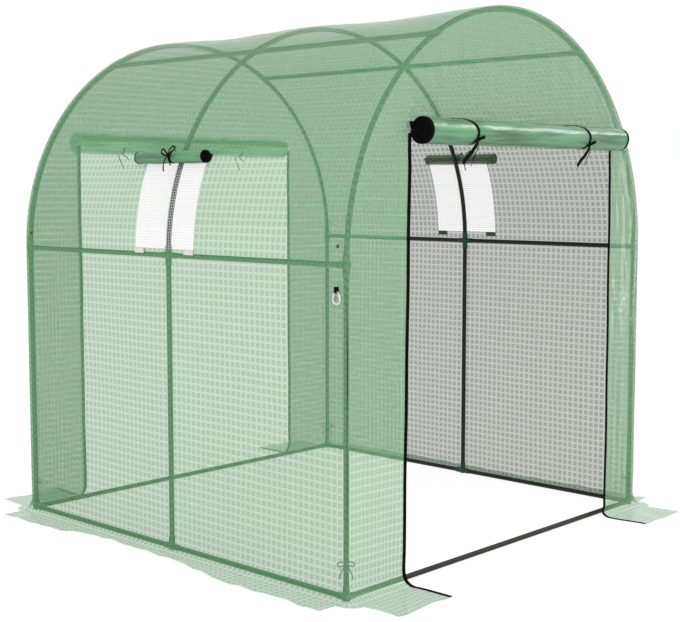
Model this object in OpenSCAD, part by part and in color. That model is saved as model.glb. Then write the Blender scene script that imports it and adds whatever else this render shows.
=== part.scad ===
// Walk-in polytunnel greenhouse: a push-fit tube frame under a film cover.
// X runs across the tunnel, Y along it and Z up. The origin is the middle of the ground it covers.
// The front end is at -Y and the left wall at -X.

/* [Tunnel] */
// Width over the cover at the side walls
tunnel_w = 1800; // [1600:10:2400]
// Length over the cover at the end walls
tunnel_l = 1800; // [1400:10:4000]
// Height of the cover at the ridge
tunnel_h = 2000; // [1900:10:2300]

/* [Frame tubes] */
// Outside diameter of every frame tube
tube_d = 19; // [16:1:25]
// Wall of a frame tube
tube_wall = 0.6; // [0.5:0.1:1.5]
// Angle of the purlins above the spring line, seen from the end
purlin_a = 60; // [45:1:70]

/* [Connectors] */
// Wall of a connector's socket
socket_wall = 1.75; // [1.2:0.05:3]
// Radial room between a tube and its socket
socket_fit = 0.25; // [0.1:0.05:0.5]
// Reach of a socket from the middle of the connector
socket_reach = 36; // [30:1:60]
// How much thinner the wall of a rail's socket is on the arches
branch_slim = 0.4; // [0.2:0.05:0.8]
// Room between the end of a tube and the stop in its socket
tube_end_gap = 0.3; // [0.1:0.1:1]

/* [Cover] */
// Thickness of the film, drawn thicker than the real one
film_t = 2; // [1:0.5:4]
// Room between the film and what it lies on
film_gap = 0.3; // [0.1:0.1:0.6]
// Radius at which the film turns out onto the ground
flare_r = 60; // [30:5:100]
// Reach of the ground flaps beyond the side walls
side_flap_w = 135; // [110:5:250]
// Reach of the ground flaps beyond the end walls
end_flap_w = 220; // [110:5:300]

/* [Doors] */
// Width of a doorway between the edges of the film
door_w = 1264; // [1000:2:1400]
// Height of the ridge above a doorway
door_head = 465; // [380:5:600]
// Width of the zip tape along a doorway's edge
zip_w = 8; // [5:1:15]
// Thickness of the zip tape beyond the film
zip_proud = 1; // [0.5:0.5:3]
// Outside diameter of the front door when rolled up
front_roll_d = 90; // [60:1:120]
// Outside diameter of the back door when rolled up
back_roll_d = 88; // [60:1:120]
// How far the slack front film lets its door's roll hang out from the wall
front_hang = 20; // [0:1:40]
// How far the back film lets its door's roll hang out from the wall
back_hang = 0; // [0:1:40]
// How much shorter a rolled door is than the width of its doorway
door_roll_short = 32; // [0:2:100]
// Sideways shift of the doors' rolls
door_roll_x = 5; // [-50:1:50]
// Distance between the ties of a door's roll
door_tie_gap = 700; // [400:5:900]
// Sideways shift of the doors' ties
door_tie_x = -7; // [-50:1:50]

/* [Rolls and ties] */
// Thickness of one drawn turn of a roll, which stands for several turns of film
turn_t = 6; // [3:0.5:8]
// Room between the turns of a roll
turn_gap = 1; // [0.5:0.1:2]
// Radius of the hole in the middle of a roll
roll_core_r = 6; // [4:0.5:10]
// Length of film between a door's roll and its seam
door_tail = 55; // [45:1:100]
// Length of film between a window's roll and its seam
window_tail = 34; // [30:1:60]
// Height of the sewn seam above a roll
seam_h = 12; // [6:1:20]
// Width of the tape that ties a roll
tie_w = 10; // [6:1:20]
// Thickness of the tape that ties a roll
tie_t = 1; // [0.6:0.1:2]
// Diameter of the knot in a tie
knot_d = 10; // [6:1:14]
// Length of the knot in a tie
knot_l = 14; // [11:1:24]
// Angle of the knot round the roll, from the wall
knot_a = 218; // [200:1:240]
// Length of a tie's long tail, as a share of the roll's diameter
long_tail_share = 1.15; // [0.6:0.05:1.5]
// Length of a tie's short tail, as a share of the roll's diameter
short_tail_share = 0.4; // [0.2:0.05:0.6]
// Angle of the tails from hanging straight
tail_lean = 45; // [0:1:60]

/* [Windows] */
// Length of a window along the tunnel
window_l = 332; // [240:2:500]
// Height of a window along the curve of the shoulder
window_h = 333; // [200:1:450]
// Height of the left window's sill above the spring line, along the curve
left_sill = 24; // [22:1:80]
// Height of the right window's sill above the spring line, along the curve
right_sill = 42; // [22:1:80]
// Shift of the left window towards the back
left_window_y = 12; // [-60:1:60]
// Shift of the right window towards the back
right_window_y = 0; // [-60:1:60]
// Thickness of the window net
net_t = 1; // [0.6:0.1:1.5]
// Outside diameter of a window flap when rolled up
window_roll_d = 50; // [40:1:70]
// How much longer a rolled window flap is than its window
window_roll_over = 50; // [0:2:100]
// Length of a fastener tab under a window's corner
tab_l = 52; // [30:1:80]
// Height of a fastener tab
tab_h = 19; // [10:1:21]
// Thickness of a fastener tab
tab_t = 1.5; // [1:0.1:3]

/* [Fittings] */
// Distance of the snap hook and the eyelets from the ends of the tunnel
fitting_in = 40; // [30:1:100]
// Distance of the top of the snap hook's strap below the spring line
strap_drop = 70; // [20:5:200]
// Width of the snap hook's strap
strap_w = 12; // [8:1:14]
// Thickness of the snap hook's strap
strap_t = 1; // [0.6:0.1:2]
// Height of the strap above its loop
strap_h = 16; // [10:1:30]
// Diameter of the snap hook's wire
hook_wire_d = 4.5; // [3:0.1:6]
// Thickness of the sleeves on the snap hook's straight sides
hook_sleeve = 0.5; // [0.3:0.1:1]
// Radius of the narrow end of the snap hook, to the middle of its wire
hook_top_r = 12; // [10:0.5:15]
// Radius of the wide end of the snap hook, to the middle of its wire
hook_low_r = 15.5; // [15:0.5:20]
// Distance between the centres of the two ends of the snap hook
hook_gap = 12; // [8:0.5:20]
// Room between the strap and the snap hook
hook_fit = 0.3; // [0.2:0.1:0.6]
// Outside diameter of an eyelet
eyelet_d = 12; // [8:1:20]
// Hole of an eyelet
eyelet_hole = 5; // [3:0.5:7]
// Thickness of an eyelet
eyelet_t = 1.2; // [0.8:0.1:2]
// Height of the eyelets above the spring line, along the curve
eyelet_rise = 60; // [20:5:120]

/* [Hidden] */
$fn = 96;
arc_fn = 240;
cut = 1;

tube_color = [0.20, 0.19, 0.18];
connector_color = [0.18, 0.33, 0.29];
film_color = [0.56, 0.76, 0.63, 0.6];
roll_color = [0.42, 0.66, 0.50];
dark_roll_color = [0.24, 0.43, 0.28];
net_color = [0.95, 0.95, 0.94];
black_color = [0.07, 0.07, 0.07];
tab_color = [0.90, 0.90, 0.87];

// Sockets: the bore that takes a tube, the outside, and the solid stop between the bores
bore_d = tube_d + 2 * socket_fit;
socket_d = bore_d + 2 * socket_wall;
socket_r = socket_d / 2;
socket_stop = bore_d / 2 + socket_wall;
tube_stop = socket_stop + tube_end_gap;

// The tube axes lie inside the cover by the film, its room and the socket's radius
axis_in = film_t + film_gap + socket_r;
side_x = tunnel_w / 2 - axis_in;
end_y = tunnel_l / 2 - axis_in;
hoop_y = [-end_y, 0, end_y];
ground_z = socket_r;
spring_z = tunnel_h - tunnel_w / 2;
arch_r = side_x;
cover_r = tunnel_w / 2;
cover_in_r = cover_r - film_t;

function arc_angle(length, radius) = length / radius * 180 / PI;

stop_a = arc_angle(tube_stop, arch_r);
bore_a = arc_angle(socket_stop, arch_r);
reach_a = arc_angle(socket_reach, arch_r);

// Cover panels meet at these heights and widths
flare_top = film_t + flare_r;
seam_x = cover_in_r - film_gap;
door_x = door_w / 2;
door_h = tunnel_h - door_head;

// Windows, as angles above the spring line
function sill_a(sill) = arc_angle(sill, cover_r);
function head_a(sill) = arc_angle(sill + window_h, cover_r);
gap_a = arc_angle(film_gap, cover_r);

// A roll stands off the wall by its tie and the room on both sides of it
roll_off = film_gap + tie_t + film_gap;

// The strap's loop clears the curve of the snap hook's narrow end
hook_wire_r = hook_wire_d / 2;
hook_drop = hook_top_r - sqrt(pow(hook_top_r, 2) - pow(strap_w / 2, 2));
strap_loop_r = hook_wire_r + hook_drop + hook_fit;
strap_x = cover_r + film_gap + strap_loop_r + strap_t;
hook_z = spring_z - strap_drop - strap_h;
hook_y = -tunnel_l / 2 + fitting_in;

// Turns a shape drawn in the end view (X across, Y up) to stand in the tunnel
module upright() rotate([90, 0, 0]) children();

// Both walls: the shape is drawn for the right one
module left_copy() mirror([1, 0, 0]) children();

// Frame tubes

module tube_section() {
    difference() {
        circle(d = tube_d);
        circle(d = tube_d - 2 * tube_wall);
    }
}

module straight_tube(length) linear_extrude(length) tube_section();

module arch_sweep(from_a, to_a) {
    upright() rotate([0, 0, from_a]) rotate_extrude(angle = to_a - from_a, $fn = arc_fn)
        translate([arch_r, 0]) children();
}

module legs() {
    for (y = hoop_y)
        translate([side_x, y, ground_z + tube_stop])
            straight_tube(spring_z - ground_z - 2 * tube_stop);
}

// One tube of an arch, between two connectors
module arch_tube(from_a, to_a) arch_sweep(from_a + stop_a, to_a - stop_a) tube_section();

module arch(y) {
    translate([0, y, spring_z]) {
        arch_tube(0, purlin_a);
        arch_tube(purlin_a, 180 - purlin_a);
        arch_tube(180 - purlin_a, 180);
    }
}

// One tube in each bay between two hoops
module bay_tubes() {
    for (i = [0 : len(hoop_y) - 2])
        translate([0, hoop_y[i] + tube_stop, 0]) rotate([-90, 0, 0])
            straight_tube(hoop_y[i + 1] - hoop_y[i] - 2 * tube_stop);
}

module cross_tube() {
    translate([-side_x + tube_stop, 0, 0]) rotate([0, 90, 0]) straight_tube(2 * (side_x - tube_stop));
}

module purlins() {
    translate([arch_r * cos(purlin_a), 0, spring_z + arch_r * sin(purlin_a)]) bay_tubes();
}

// Connectors: sockets round a solid middle

// The turn that brings a socket from straight up to where it points
function way_turn(way) =
    way == "down" ? [180, 0, 0] :
    way == "inward" ? [0, -90, 0] :
    way == "forward" ? [90, 0, 0] :
    way == "backward" ? [-90, 0, 0] : [0, 0, 0];

// The directions in which rails leave the hoop with this number
function rail_ways(i) =
    i == 0 ? ["backward"] : i == len(hoop_y) - 1 ? ["forward"] : ["forward", "backward"];

// A socket's outside, with a stub behind the middle that closes it
module socket_outside(way, stub = socket_r, slim = 0) {
    rotate(way_turn(way)) translate([0, 0, -stub]) cylinder(d = socket_d - 2 * slim, h = stub + socket_reach);
}

module socket_bore(way) {
    rotate(way_turn(way)) translate([0, 0, socket_stop]) cylinder(d = bore_d, h = socket_reach);
}

module straight_connector(ways) {
    difference() {
        union() for (way = ways) socket_outside(way);
        for (way = ways) socket_bore(way);
    }
}

// A connector on the arch at angle a: a curved socket after it, another one or a straight one before it,
// and straight ones for the rails
module arch_connector(a, curved_before, rails) {
    place = [arch_r * cos(a), 0, arch_r * sin(a)];
    difference() {
        union() {
            arch_sweep(curved_before ? a - reach_a : a, a + reach_a) circle(d = socket_d);
            translate(place) {
                if (!curved_before) socket_outside("down", 0);
                for (way = rails) socket_outside(way, slim = branch_slim);
            }
        }
        arch_sweep(a + bore_a, a + 2 * reach_a) circle(d = bore_d);
        if (curved_before) arch_sweep(a - 2 * reach_a, a - bore_a) circle(d = bore_d);
        translate(place) {
            if (!curved_before) socket_bore("down");
            for (way = rails) socket_bore(way);
        }
    }
}

module ground_connector_row() {
    for (i = [0 : len(hoop_y) - 1]) {
        end_hoop = i == 0 || i == len(hoop_y) - 1;
        translate([side_x, hoop_y[i], ground_z])
            straight_connector(concat(["up"], rail_ways(i), end_hoop ? ["inward"] : []));
    }
}

module side_rail_connector_row() {
    for (i = [0 : len(hoop_y) - 1])
        translate([0, hoop_y[i], spring_z]) arch_connector(0, false, rail_ways(i));
}

module purlin_connector_row() {
    for (i = [0 : len(hoop_y) - 1])
        translate([0, hoop_y[i], spring_z]) arch_connector(purlin_a, true, rail_ways(i));
}

// Cover

module wall_cover() {
    translate([cover_in_r, -tunnel_l / 2, flare_top]) cube([film_t, tunnel_l, spring_z - flare_top]);
}

// A curved sheet along the tunnel, between two angles and two radii
module curved_sheet(from_a, to_a, in_r, out_r, length) {
    upright() rotate([0, 0, from_a]) rotate_extrude(angle = to_a - from_a, $fn = arc_fn)
        translate([in_r, -length / 2]) square([out_r - in_r, length]);
}

module shoulder_cover(sill, window_y) {
    translate([0, 0, spring_z]) difference() {
        curved_sheet(0, purlin_a, cover_in_r, cover_r, tunnel_l);
        translate([0, window_y, 0])
            curved_sheet(sill_a(sill), head_a(sill), cover_in_r - cut, cover_r + cut, window_l);
    }
}

module roof_cover_sheet() {
    translate([0, 0, spring_z]) curved_sheet(purlin_a, 180 - purlin_a, cover_in_r, cover_r, tunnel_l);
}

// The whole end wall under the arch, above the flare
module end_wall_outline() {
    translate([-seam_x, -tunnel_l / 2, flare_top]) cube([2 * seam_x, film_t, spring_z - flare_top]);
    translate([0, -tunnel_l / 2 + film_t, spring_z]) upright() cylinder(r = seam_x, h = film_t, $fn = arc_fn);
}

module end_wall_part(low, high) {
    intersection() {
        end_wall_outline();
        translate([low[0], -tunnel_l / 2 - cut, low[1]])
            cube([high[0] - low[0], film_t + 2 * cut, high[1] - low[1]]);
    }
}

module end_strip() end_wall_part([door_x, flare_top], [cover_r, door_h]);

module end_gable() end_wall_part([-cover_r, door_h], [cover_r, tunnel_h]);

// Film that turns from a wall onto the ground. X is the distance out from the wall's inner face,
// and the thickness grows on the weather side by proud.
module flare(reach, length, proud = 0) {
    translate([flare_top, 0, flare_top]) rotate([-90, 0, 0]) rotate([0, 0, 90])
        rotate_extrude(angle = 90) translate([flare_r - proud, 0]) square([film_t + proud, length]);
    translate([flare_top, 0, 0]) cube([reach + film_t - flare_top, length, film_t + proud]);
}

module side_flap() translate([cover_in_r, -tunnel_l / 2, 0]) flare(side_flap_w, tunnel_l);

// Turns a shape that runs out along X to run out of the front end
module out_of_front(x) translate([x, -tunnel_l / 2 + film_t, 0]) rotate([0, 0, -90]) children();

module end_flap() out_of_front(door_x) flare(end_flap_w, seam_x - door_x);

module door_zip() {
    out_of_front(door_x - zip_w) {
        flare(end_flap_w, zip_w, zip_proud);
        translate([0, 0, flare_top]) cube([film_t + zip_proud, zip_w, door_h - flare_top]);
    }
}

module both_sides() {
    children();
    left_copy() children();
}

module at_back() mirror([0, 1, 0]) children();

// Rolled film: a spiral that ends towards the wall and rises to its seam, slanting back where it hangs out.
// X points to the wall, Y up it, and the middle of the roll is the origin.

function turn_pitch() = turn_t + turn_gap;
function roll_turns(d) = (d / 2 - turn_t - roll_core_r) / turn_pitch();
function spiral_point(d, share, side) =
    let (turns = roll_turns(d), left = turns * (1 - share), r = d / 2 - turn_t / 2 - turn_pitch() * left)
    (r + side * turn_t / 2) * [cos(-360 * left), sin(-360 * left)];

module roll_section(d, tail, hang = 0) {
    steps = ceil(roll_turns(d) * 24);
    seam_foot = tail - seam_h;
    polygon(concat(
        [for (i = [0 : steps]) spiral_point(d, i / steps, 1)],
        [for (i = [steps : -1 : 0]) spiral_point(d, i / steps, -1)]
    ));
    polygon([
        [d / 2 - film_t, 0], [d / 2, 0], [d / 2 + hang, seam_foot], [d / 2 + hang - film_t, seam_foot]
    ]);
    translate([d / 2 + hang - film_t, seam_foot]) square([film_t + tie_t + film_gap, seam_h]);
}

// The tie runs round the roll from the film's front face to behind it
module tie_band(d) {
    tie_start_a = acos((d / 2 - film_t - 2 * film_gap - tie_t) / (d / 2 + film_gap + tie_t)) + 2;
    rotate([0, 0, tie_start_a]) rotate_extrude(angle = 360 - tie_start_a)
        translate([d / 2 + film_gap, -tie_w / 2]) square([tie_t, tie_w]);
}

// A tail hangs from the knot along the roll's front
module tie_tail(length, lean) {
    rotate([lean, 0, 0]) translate([-tie_t / 2, -length, -tie_w / 2]) cube([tie_t, length, tie_w]);
}

module tie(d) {
    tie_band(d);
    translate((d / 2 + film_gap + knot_d / 2) * [cos(knot_a), sin(knot_a)]) {
        cylinder(d = knot_d, h = knot_l, center = true);
        tie_tail(d * long_tail_share, tail_lean);
        tie_tail(d * short_tail_share, -tail_lean);
    }
}

// Puts a roll's section frame in front of the front wall, with the roll's length along X
module at_front_roll(d, hang, x) {
    translate([x, -tunnel_l / 2 - roll_off - hang - d / 2, door_h]) rotate([90, 0, 90]) children();
}

module door_roll(d, hang) {
    at_front_roll(d, hang, door_roll_x) linear_extrude(door_w - door_roll_short, center = true)
        roll_section(d, door_tail, hang);
}

module door_ties(d, hang) {
    for (side = [-1, 1]) at_front_roll(d, hang, door_tie_x + side * door_tie_gap / 2) tie(d);
}

// Puts a roll's section frame on the right shoulder above its window, with the roll's length along Y
module at_window_roll(sill, y) {
    translate([0, y, spring_z]) upright() rotate([0, 0, head_a(sill)])
        translate([cover_r + roll_off + window_roll_d / 2, 0, 0]) mirror([1, 0, 0]) children();
}

module window_roll(sill, window_y) {
    at_window_roll(sill, window_y) linear_extrude(window_l + window_roll_over, center = true)
        roll_section(window_roll_d, window_tail);
}

module window_net(sill, window_y) {
    translate([0, window_y, spring_z]) curved_sheet(
        sill_a(sill) + gap_a, head_a(sill) - gap_a, cover_in_r, cover_in_r + net_t, window_l - 2 * film_gap
    );
}

// Tabs hang from the sill at the window's corners
module window_tab_pair(sill, window_y) {
    for (side = [-1, 1])
        translate([0, window_y + side * (window_l - tab_l) / 2, spring_z]) curved_sheet(
            arc_angle(sill - tab_h, cover_r), sill_a(sill),
            cover_r + film_gap, cover_r + film_gap + tab_t, tab_l
        );
}

// Fittings

// The strap is folded round the snap hook and sewn at its top
module strap() {
    translate([-strap_x, hook_y, hook_z]) rotate([90, 0, 0]) {
        translate([0, 0, -strap_w / 2]) {
            rotate([0, 0, 180]) rotate_extrude(angle = 180)
                translate([strap_loop_r, 0]) square([strap_t, strap_w]);
            for (side = [0, 1])
                mirror([side, 0, 0]) translate([strap_loop_r, 0, 0]) cube([strap_t, strap_h, strap_w]);
            translate([-strap_loop_r - strap_t, strap_h - seam_h / 2, 0])
                cube([2 * (strap_loop_r + strap_t), seam_h / 2, strap_w]);
        }
    }
}

// A pear-shaped link: two arcs, and a sleeve on each of the two straight sides between them
module hook_link() {
    side_a = asin((hook_low_r - hook_top_r) / hook_gap);
    side_l = hook_gap * cos(side_a);
    rotate([0, 0, side_a]) rotate_extrude(angle = 180 - 2 * side_a)
        translate([hook_top_r, 0]) circle(d = hook_wire_d);
    translate([0, -hook_gap, 0]) rotate([0, 0, 180 - side_a]) rotate_extrude(angle = 180 + 2 * side_a)
        translate([hook_low_r, 0]) circle(d = hook_wire_d);
    for (side = [0, 1])
        mirror([side, 0, 0]) rotate([0, 0, side_a]) translate([hook_top_r, 0, 0]) rotate([90, 0, 0])
            translate([0, 0, -hook_sleeve]) cylinder(
                d = hook_wire_d + 2 * hook_sleeve, h = side_l + 2 * hook_sleeve
            );
}

module hanging_hook() {
    translate([-strap_x, hook_y, hook_z - hook_top_r]) rotate([90, 0, 90]) hook_link();
}

module eyelet_pair() {
    for (side = [-1, 1])
        translate([0, side * (tunnel_l / 2 - fitting_in), spring_z])
            upright() rotate([0, 0, arc_angle(eyelet_rise, cover_r)])
                translate([cover_r + film_gap, 0, 0]) rotate([0, 90, 0]) difference() {
                    cylinder(d = eyelet_d, h = eyelet_t);
                    translate([0, 0, -cut]) cylinder(d = eyelet_hole, h = eyelet_t + 2 * cut);
                }
}

// Sub-parts, one for each node

module left_legs() color(tube_color) left_copy() legs();
module right_legs() color(tube_color) legs();
module front_arch() color(tube_color) arch(hoop_y[0]);
module middle_arch() color(tube_color) arch(hoop_y[1]);
module back_arch() color(tube_color) arch(hoop_y[2]);
module right_ground_rails() color(tube_color) translate([side_x, 0, ground_z]) bay_tubes();
module left_ground_rails() color(tube_color) translate([-side_x, 0, ground_z]) bay_tubes();
module front_ground_rail() color(tube_color) translate([0, -end_y, ground_z]) cross_tube();
module back_ground_rail() color(tube_color) translate([0, end_y, ground_z]) cross_tube();
module right_side_rails() color(tube_color) translate([side_x, 0, spring_z]) bay_tubes();
module left_side_rails() color(tube_color) translate([-side_x, 0, spring_z]) bay_tubes();
module right_purlins() color(tube_color) purlins();
module left_purlins() color(tube_color) left_copy() purlins();
module ground_connectors() color(connector_color) both_sides() ground_connector_row();
module side_rail_connectors() color(connector_color) both_sides() side_rail_connector_row();
module purlin_connectors() color(connector_color) both_sides() purlin_connector_row();
module right_wall_cover() color(film_color) wall_cover();
module left_wall_cover() color(film_color) left_copy() wall_cover();
module right_shoulder_cover() color(film_color) shoulder_cover(right_sill, right_window_y);
module left_shoulder_cover() color(film_color) left_copy() shoulder_cover(left_sill, left_window_y);
module roof_cover() color(film_color) roof_cover_sheet();
module front_right_cover() color(film_color) end_strip();
module front_left_cover() color(film_color) left_copy() end_strip();
module front_gable_cover() color(film_color) end_gable();
module back_right_cover() color(film_color) at_back() end_strip();
module back_left_cover() color(film_color) at_back() left_copy() end_strip();
module back_gable_cover() color(film_color) at_back() end_gable();
module right_ground_flap() color(film_color) side_flap();
module left_ground_flap() color(film_color) left_copy() side_flap();
module front_ground_flaps() color(film_color) both_sides() end_flap();
module back_ground_flaps() color(film_color) at_back() both_sides() end_flap();
module front_door_zips() color(black_color) both_sides() door_zip();
module back_door_zips() color(black_color) at_back() both_sides() door_zip();
module front_door_roll() color(roll_color) door_roll(front_roll_d, front_hang);
module back_door_roll() color(roll_color) at_back() door_roll(back_roll_d, back_hang);
module door_roll_ties() color(black_color) {
    door_ties(front_roll_d, front_hang);
    at_back() door_ties(back_roll_d, back_hang);
}
module right_window_net() color(net_color) window_net(right_sill, right_window_y);
module left_window_net() color(net_color) left_copy() window_net(left_sill, left_window_y);
module right_window_roll() color(dark_roll_color) window_roll(right_sill, right_window_y);
module left_window_roll() color(dark_roll_color) left_copy() window_roll(left_sill, left_window_y);
module window_roll_ties() color(black_color) {
    at_window_roll(right_sill, 0) tie(window_roll_d);
    left_copy() at_window_roll(left_sill, 0) tie(window_roll_d);
}
module window_tabs() color(tab_color) {
    window_tab_pair(right_sill, right_window_y);
    left_copy() window_tab_pair(left_sill, left_window_y);
}
module hook_strap() color(black_color) strap();
module snap_hook() color(tab_color) hanging_hook();
module eyelets() color(black_color) both_sides() eyelet_pair();

left_legs();
right_legs();
front_arch();
middle_arch();
back_arch();
left_ground_rails();
right_ground_rails();
front_ground_rail();
back_ground_rail();
left_side_rails();
right_side_rails();
left_purlins();
right_purlins();
ground_connectors();
side_rail_connectors();
purlin_connectors();
left_wall_cover();
right_wall_cover();
left_shoulder_cover();
roof_cover();
right_shoulder_cover();
front_left_cover();
front_right_cover();
front_gable_cover();
back_left_cover();
back_right_cover();
back_gable_cover();
left_ground_flap();
right_ground_flap();
front_ground_flaps();
back_ground_flaps();
front_door_zips();
back_door_zips();
front_door_roll();
back_door_roll();
door_roll_ties();
left_window_net();
right_window_net();
left_window_roll();
right_window_roll();
window_roll_ties();
window_tabs();
hook_strap();
snap_hook();
eyelets();
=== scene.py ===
"""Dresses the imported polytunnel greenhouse: woven film, rolled doors, nets, ties, fittings and a studio."""

import math

import bpy
import numpy as np
from bpy.props import FloatProperty, FloatVectorProperty, PointerProperty
from bpy.types import Operator, Panel, PropertyGroup
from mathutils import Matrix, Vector


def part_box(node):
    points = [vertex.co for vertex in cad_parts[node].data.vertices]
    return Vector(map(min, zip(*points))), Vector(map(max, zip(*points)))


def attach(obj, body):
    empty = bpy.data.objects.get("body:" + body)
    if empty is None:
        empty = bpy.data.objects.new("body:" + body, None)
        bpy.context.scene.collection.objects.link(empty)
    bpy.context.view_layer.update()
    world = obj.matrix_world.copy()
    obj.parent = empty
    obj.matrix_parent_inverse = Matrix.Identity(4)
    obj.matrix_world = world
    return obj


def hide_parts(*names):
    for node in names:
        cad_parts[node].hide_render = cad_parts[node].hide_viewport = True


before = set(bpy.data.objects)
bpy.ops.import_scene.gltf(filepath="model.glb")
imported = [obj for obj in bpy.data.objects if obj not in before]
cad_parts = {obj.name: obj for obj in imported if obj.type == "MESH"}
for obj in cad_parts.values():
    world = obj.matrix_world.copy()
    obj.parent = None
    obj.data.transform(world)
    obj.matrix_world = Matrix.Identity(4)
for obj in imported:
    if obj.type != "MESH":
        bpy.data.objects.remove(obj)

bl_info = {
    "name": "Polytunnel Greenhouse",
    "version": (1, 0, 0),
    "blender": (4, 5, 0),
    "location": "3D View > Sidebar > Greenhouse",
    "description": "Builds the film, rolls, nets, ties and studio of a polytunnel greenhouse",
    "category": "Object",
}

# Places that the CAD model fixes, in metres
COVER_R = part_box("right_wall_cover")[1].x
SPRING_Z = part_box("right_wall_cover")[1].z
END_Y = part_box("front_gable_cover")[0].y
HOOP_Y = (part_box("back_arch")[0].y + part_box("back_arch")[1].y) / 2
SEAM_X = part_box("front_right_cover")[1].x
DOOR_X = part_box("front_right_cover")[0].x
DOOR_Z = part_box("front_gable_cover")[0].z
END_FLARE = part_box("front_right_cover")[0].z
END_FLAP_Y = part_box("front_ground_flaps")[0].y
SIDE_FLAP_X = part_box("right_ground_flap")[1].x
SIDES = ((-1, "left"), (1, "right"))

# Sizes repeated from the CAD model: the purlins' angle from the crown, half the solid film's thickness,
# the gap behind a roll, the pitch of a roll's turns, a window roll's radius and the places of a door's ties
PURLIN_A = math.radians(30)
FILM_MID = 0.001
ROLL_OFF = 0.0016
TURN_PITCH = 0.007
WINDOW_ROLL_R = 0.025
TIE_X = (-0.357, 0.343)

# Film at the ends: the radius of its turn onto the ground, the film in that turn, the flat run of a flap,
# and the flap's edge measured down from the top of the turn
FLARE_R = END_FLARE - FILM_MID
FLARE_LENGTH = FLARE_R * math.pi / 2
END_FLAP_RUN = -END_FLAP_Y - abs(END_Y) - FLARE_R
END_FOOT = -(FLARE_LENGTH + abs(END_FLAP_Y - END_Y) - FLARE_R)

# How loosely the film hangs at each end, as a share of the front's looseness
ENDS = (("front", 1.0), ("back", 0.15))

# Corner gussets at the feet of the ends: the film's width beyond the seam, and its run on the ground
GUSSET = 0.06
GUSSET_RUN = 0.012

# Heights over which an end film settles: above the doorway, under the hoop and above the ground
HANG_FADE = 0.30
HOOP_HOLD = 0.10
GROUND_HOLD = 0.05

# Film tucked behind a door's roll: the share of the front's bulge left there, and the width of its easing.
# From TUCK_RISE above the doorway's head that width grows, by TUCK_SPREAD at most
TUCK_LEFT = 0.5
TUCK_WIDTH = 0.012
TUCK_RISE = 0.04
TUCK_SPREAD = 0.10

# Heights below and above the doorway's head between which the folds fade, because the roll holds the film,
# heights above the ground between which they start, and how far they stand out on the whole
STILL_BELOW = (0.13, 0.05)
STILL_ABOVE = (0.05, 0.16)
FOLD_START = (0.02, 0.12)
FOLD_OUT = 0.002

# How far the gable swells, and the distances from the hoop between which it starts to
GABLE_SWELL = 0.006
GABLE_START = (0.03, 0.16)

# How high the flaps at the ends and sides ride above the ground, and how much more a side flap does
# where it is drawn in
END_FLAP_RIDE = 0.007
SIDE_FLAP_RIDE = 0.004
DRAWN_IN_RIDE = 0.022

# Largest spacing of the mesh on the tunnel, on the gable, up the ends and along the rolls, and the columns
# across a door strip and a gusset
TUNNEL_STEP = 0.02
GABLE_STEP = 0.013
END_STEP = 0.016
ROLL_STEP = 0.02
STRIP_COLUMNS = 48
GUSSET_COLUMNS = 9

# Rolled films: radius at the core, length wound up, height of the tail to its seam, flat length and wall
DOOR_CORE = 0.006
DOOR_WOUND = 1.5
DOOR_TAIL = 0.03
FLAP_CORE = 0.005
FLAP_WOUND = 0.345
FLAP_TAIL = 0.02
ROLLED_WALL = 0.003
TURN_STEPS = 26

# Where a tie draws a roll in, and where a door roll's left end is loose: share of the radius and half width
DOOR_SQUEEZE = (0.07, 0.022)
WINDOW_SQUEEZE = (0.10, 0.02)
LOOSE_END = (0.035, 0.07)

# Painted shade on the window rolls, darker on their side towards the wall: distances from the cover where it
# is deepest and where it ends, and the share of light left at the deepest
PAINTED_SHADE_NEAR = 0.010
PAINTED_SHADE_FAR = WINDOW_ROLL_R + 0.008
PAINTED_SHADE_LEFT = 0.12

# Zips: the gap to the flap's edge, how far the tape and the teeth stand off the film, the tape's thickness,
# its lap over the film, and a tooth's share of the pitch, width and height
ZIP_END = 0.002
ZIP_OFF = 0.0009
TEETH_OFF = 0.0011
ZIP_THICKNESS = 0.0012
ZIP_LAP = 0.002
TOOTH_SHARE = 0.55
TOOTH_WIDTH = 0.0042
TOOTH_HEIGHT = 0.0016

# Ties on the doors' rolls: angles round a roll of the tape's start, knot and end, its slant along the roll
# before and after the knot, its radius as a share of the roll's, and the back ties' share of its width
TIE_START = 48
TIE_KNOT = 218
TIE_END = 338
TIE_SLANT = 0.070
UNDER_SLANT = 0.012
TIE_RADIUS = 0.955
BACK_TIE_WIDTH = 0.75

# Ties on the window flaps' rolls: angles as above, and shares of the roll's radius and the tape's width
WINDOW_TIE_START = 60
WINDOW_TIE_KNOT = 190
WINDOW_TIE_END = 340
WINDOW_TIE_RADIUS = 0.90
WINDOW_TIE_WIDTH = 0.72

# Ties at the corner legs: height above the ground, radius round the leg, lengths of a bow's loops and tails,
# and share of the tape's thickness
CORNER_TIE_Z = 0.117
CORNER_TIE_R = 0.0102
CORNER_LOOP = 0.027
CORNER_TAIL = 0.050
CORNER_THICK = 0.6

# Turns of the tape in a knot, and the share of its width there
KNOT_TURNS = 2.2
KNOT_WIDTH = 0.8

# Depth of the window nets below the film's outer face
NET_DEPTH = 0.0021


def window_place(name):
    """Angles of a window's sill and head above the spring line, and its ends along the tunnel."""
    low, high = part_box(name + "_window_net")
    inner = COVER_R - 2 * FILM_MID
    sill = math.asin((low.z - SPRING_Z) / inner)
    head = math.acos(min(abs(low.x), abs(high.x)) / inner)
    return sill, head, low.y, high.y


WINDOWS = {name: window_place(name) for _, name in SIDES}

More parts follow.
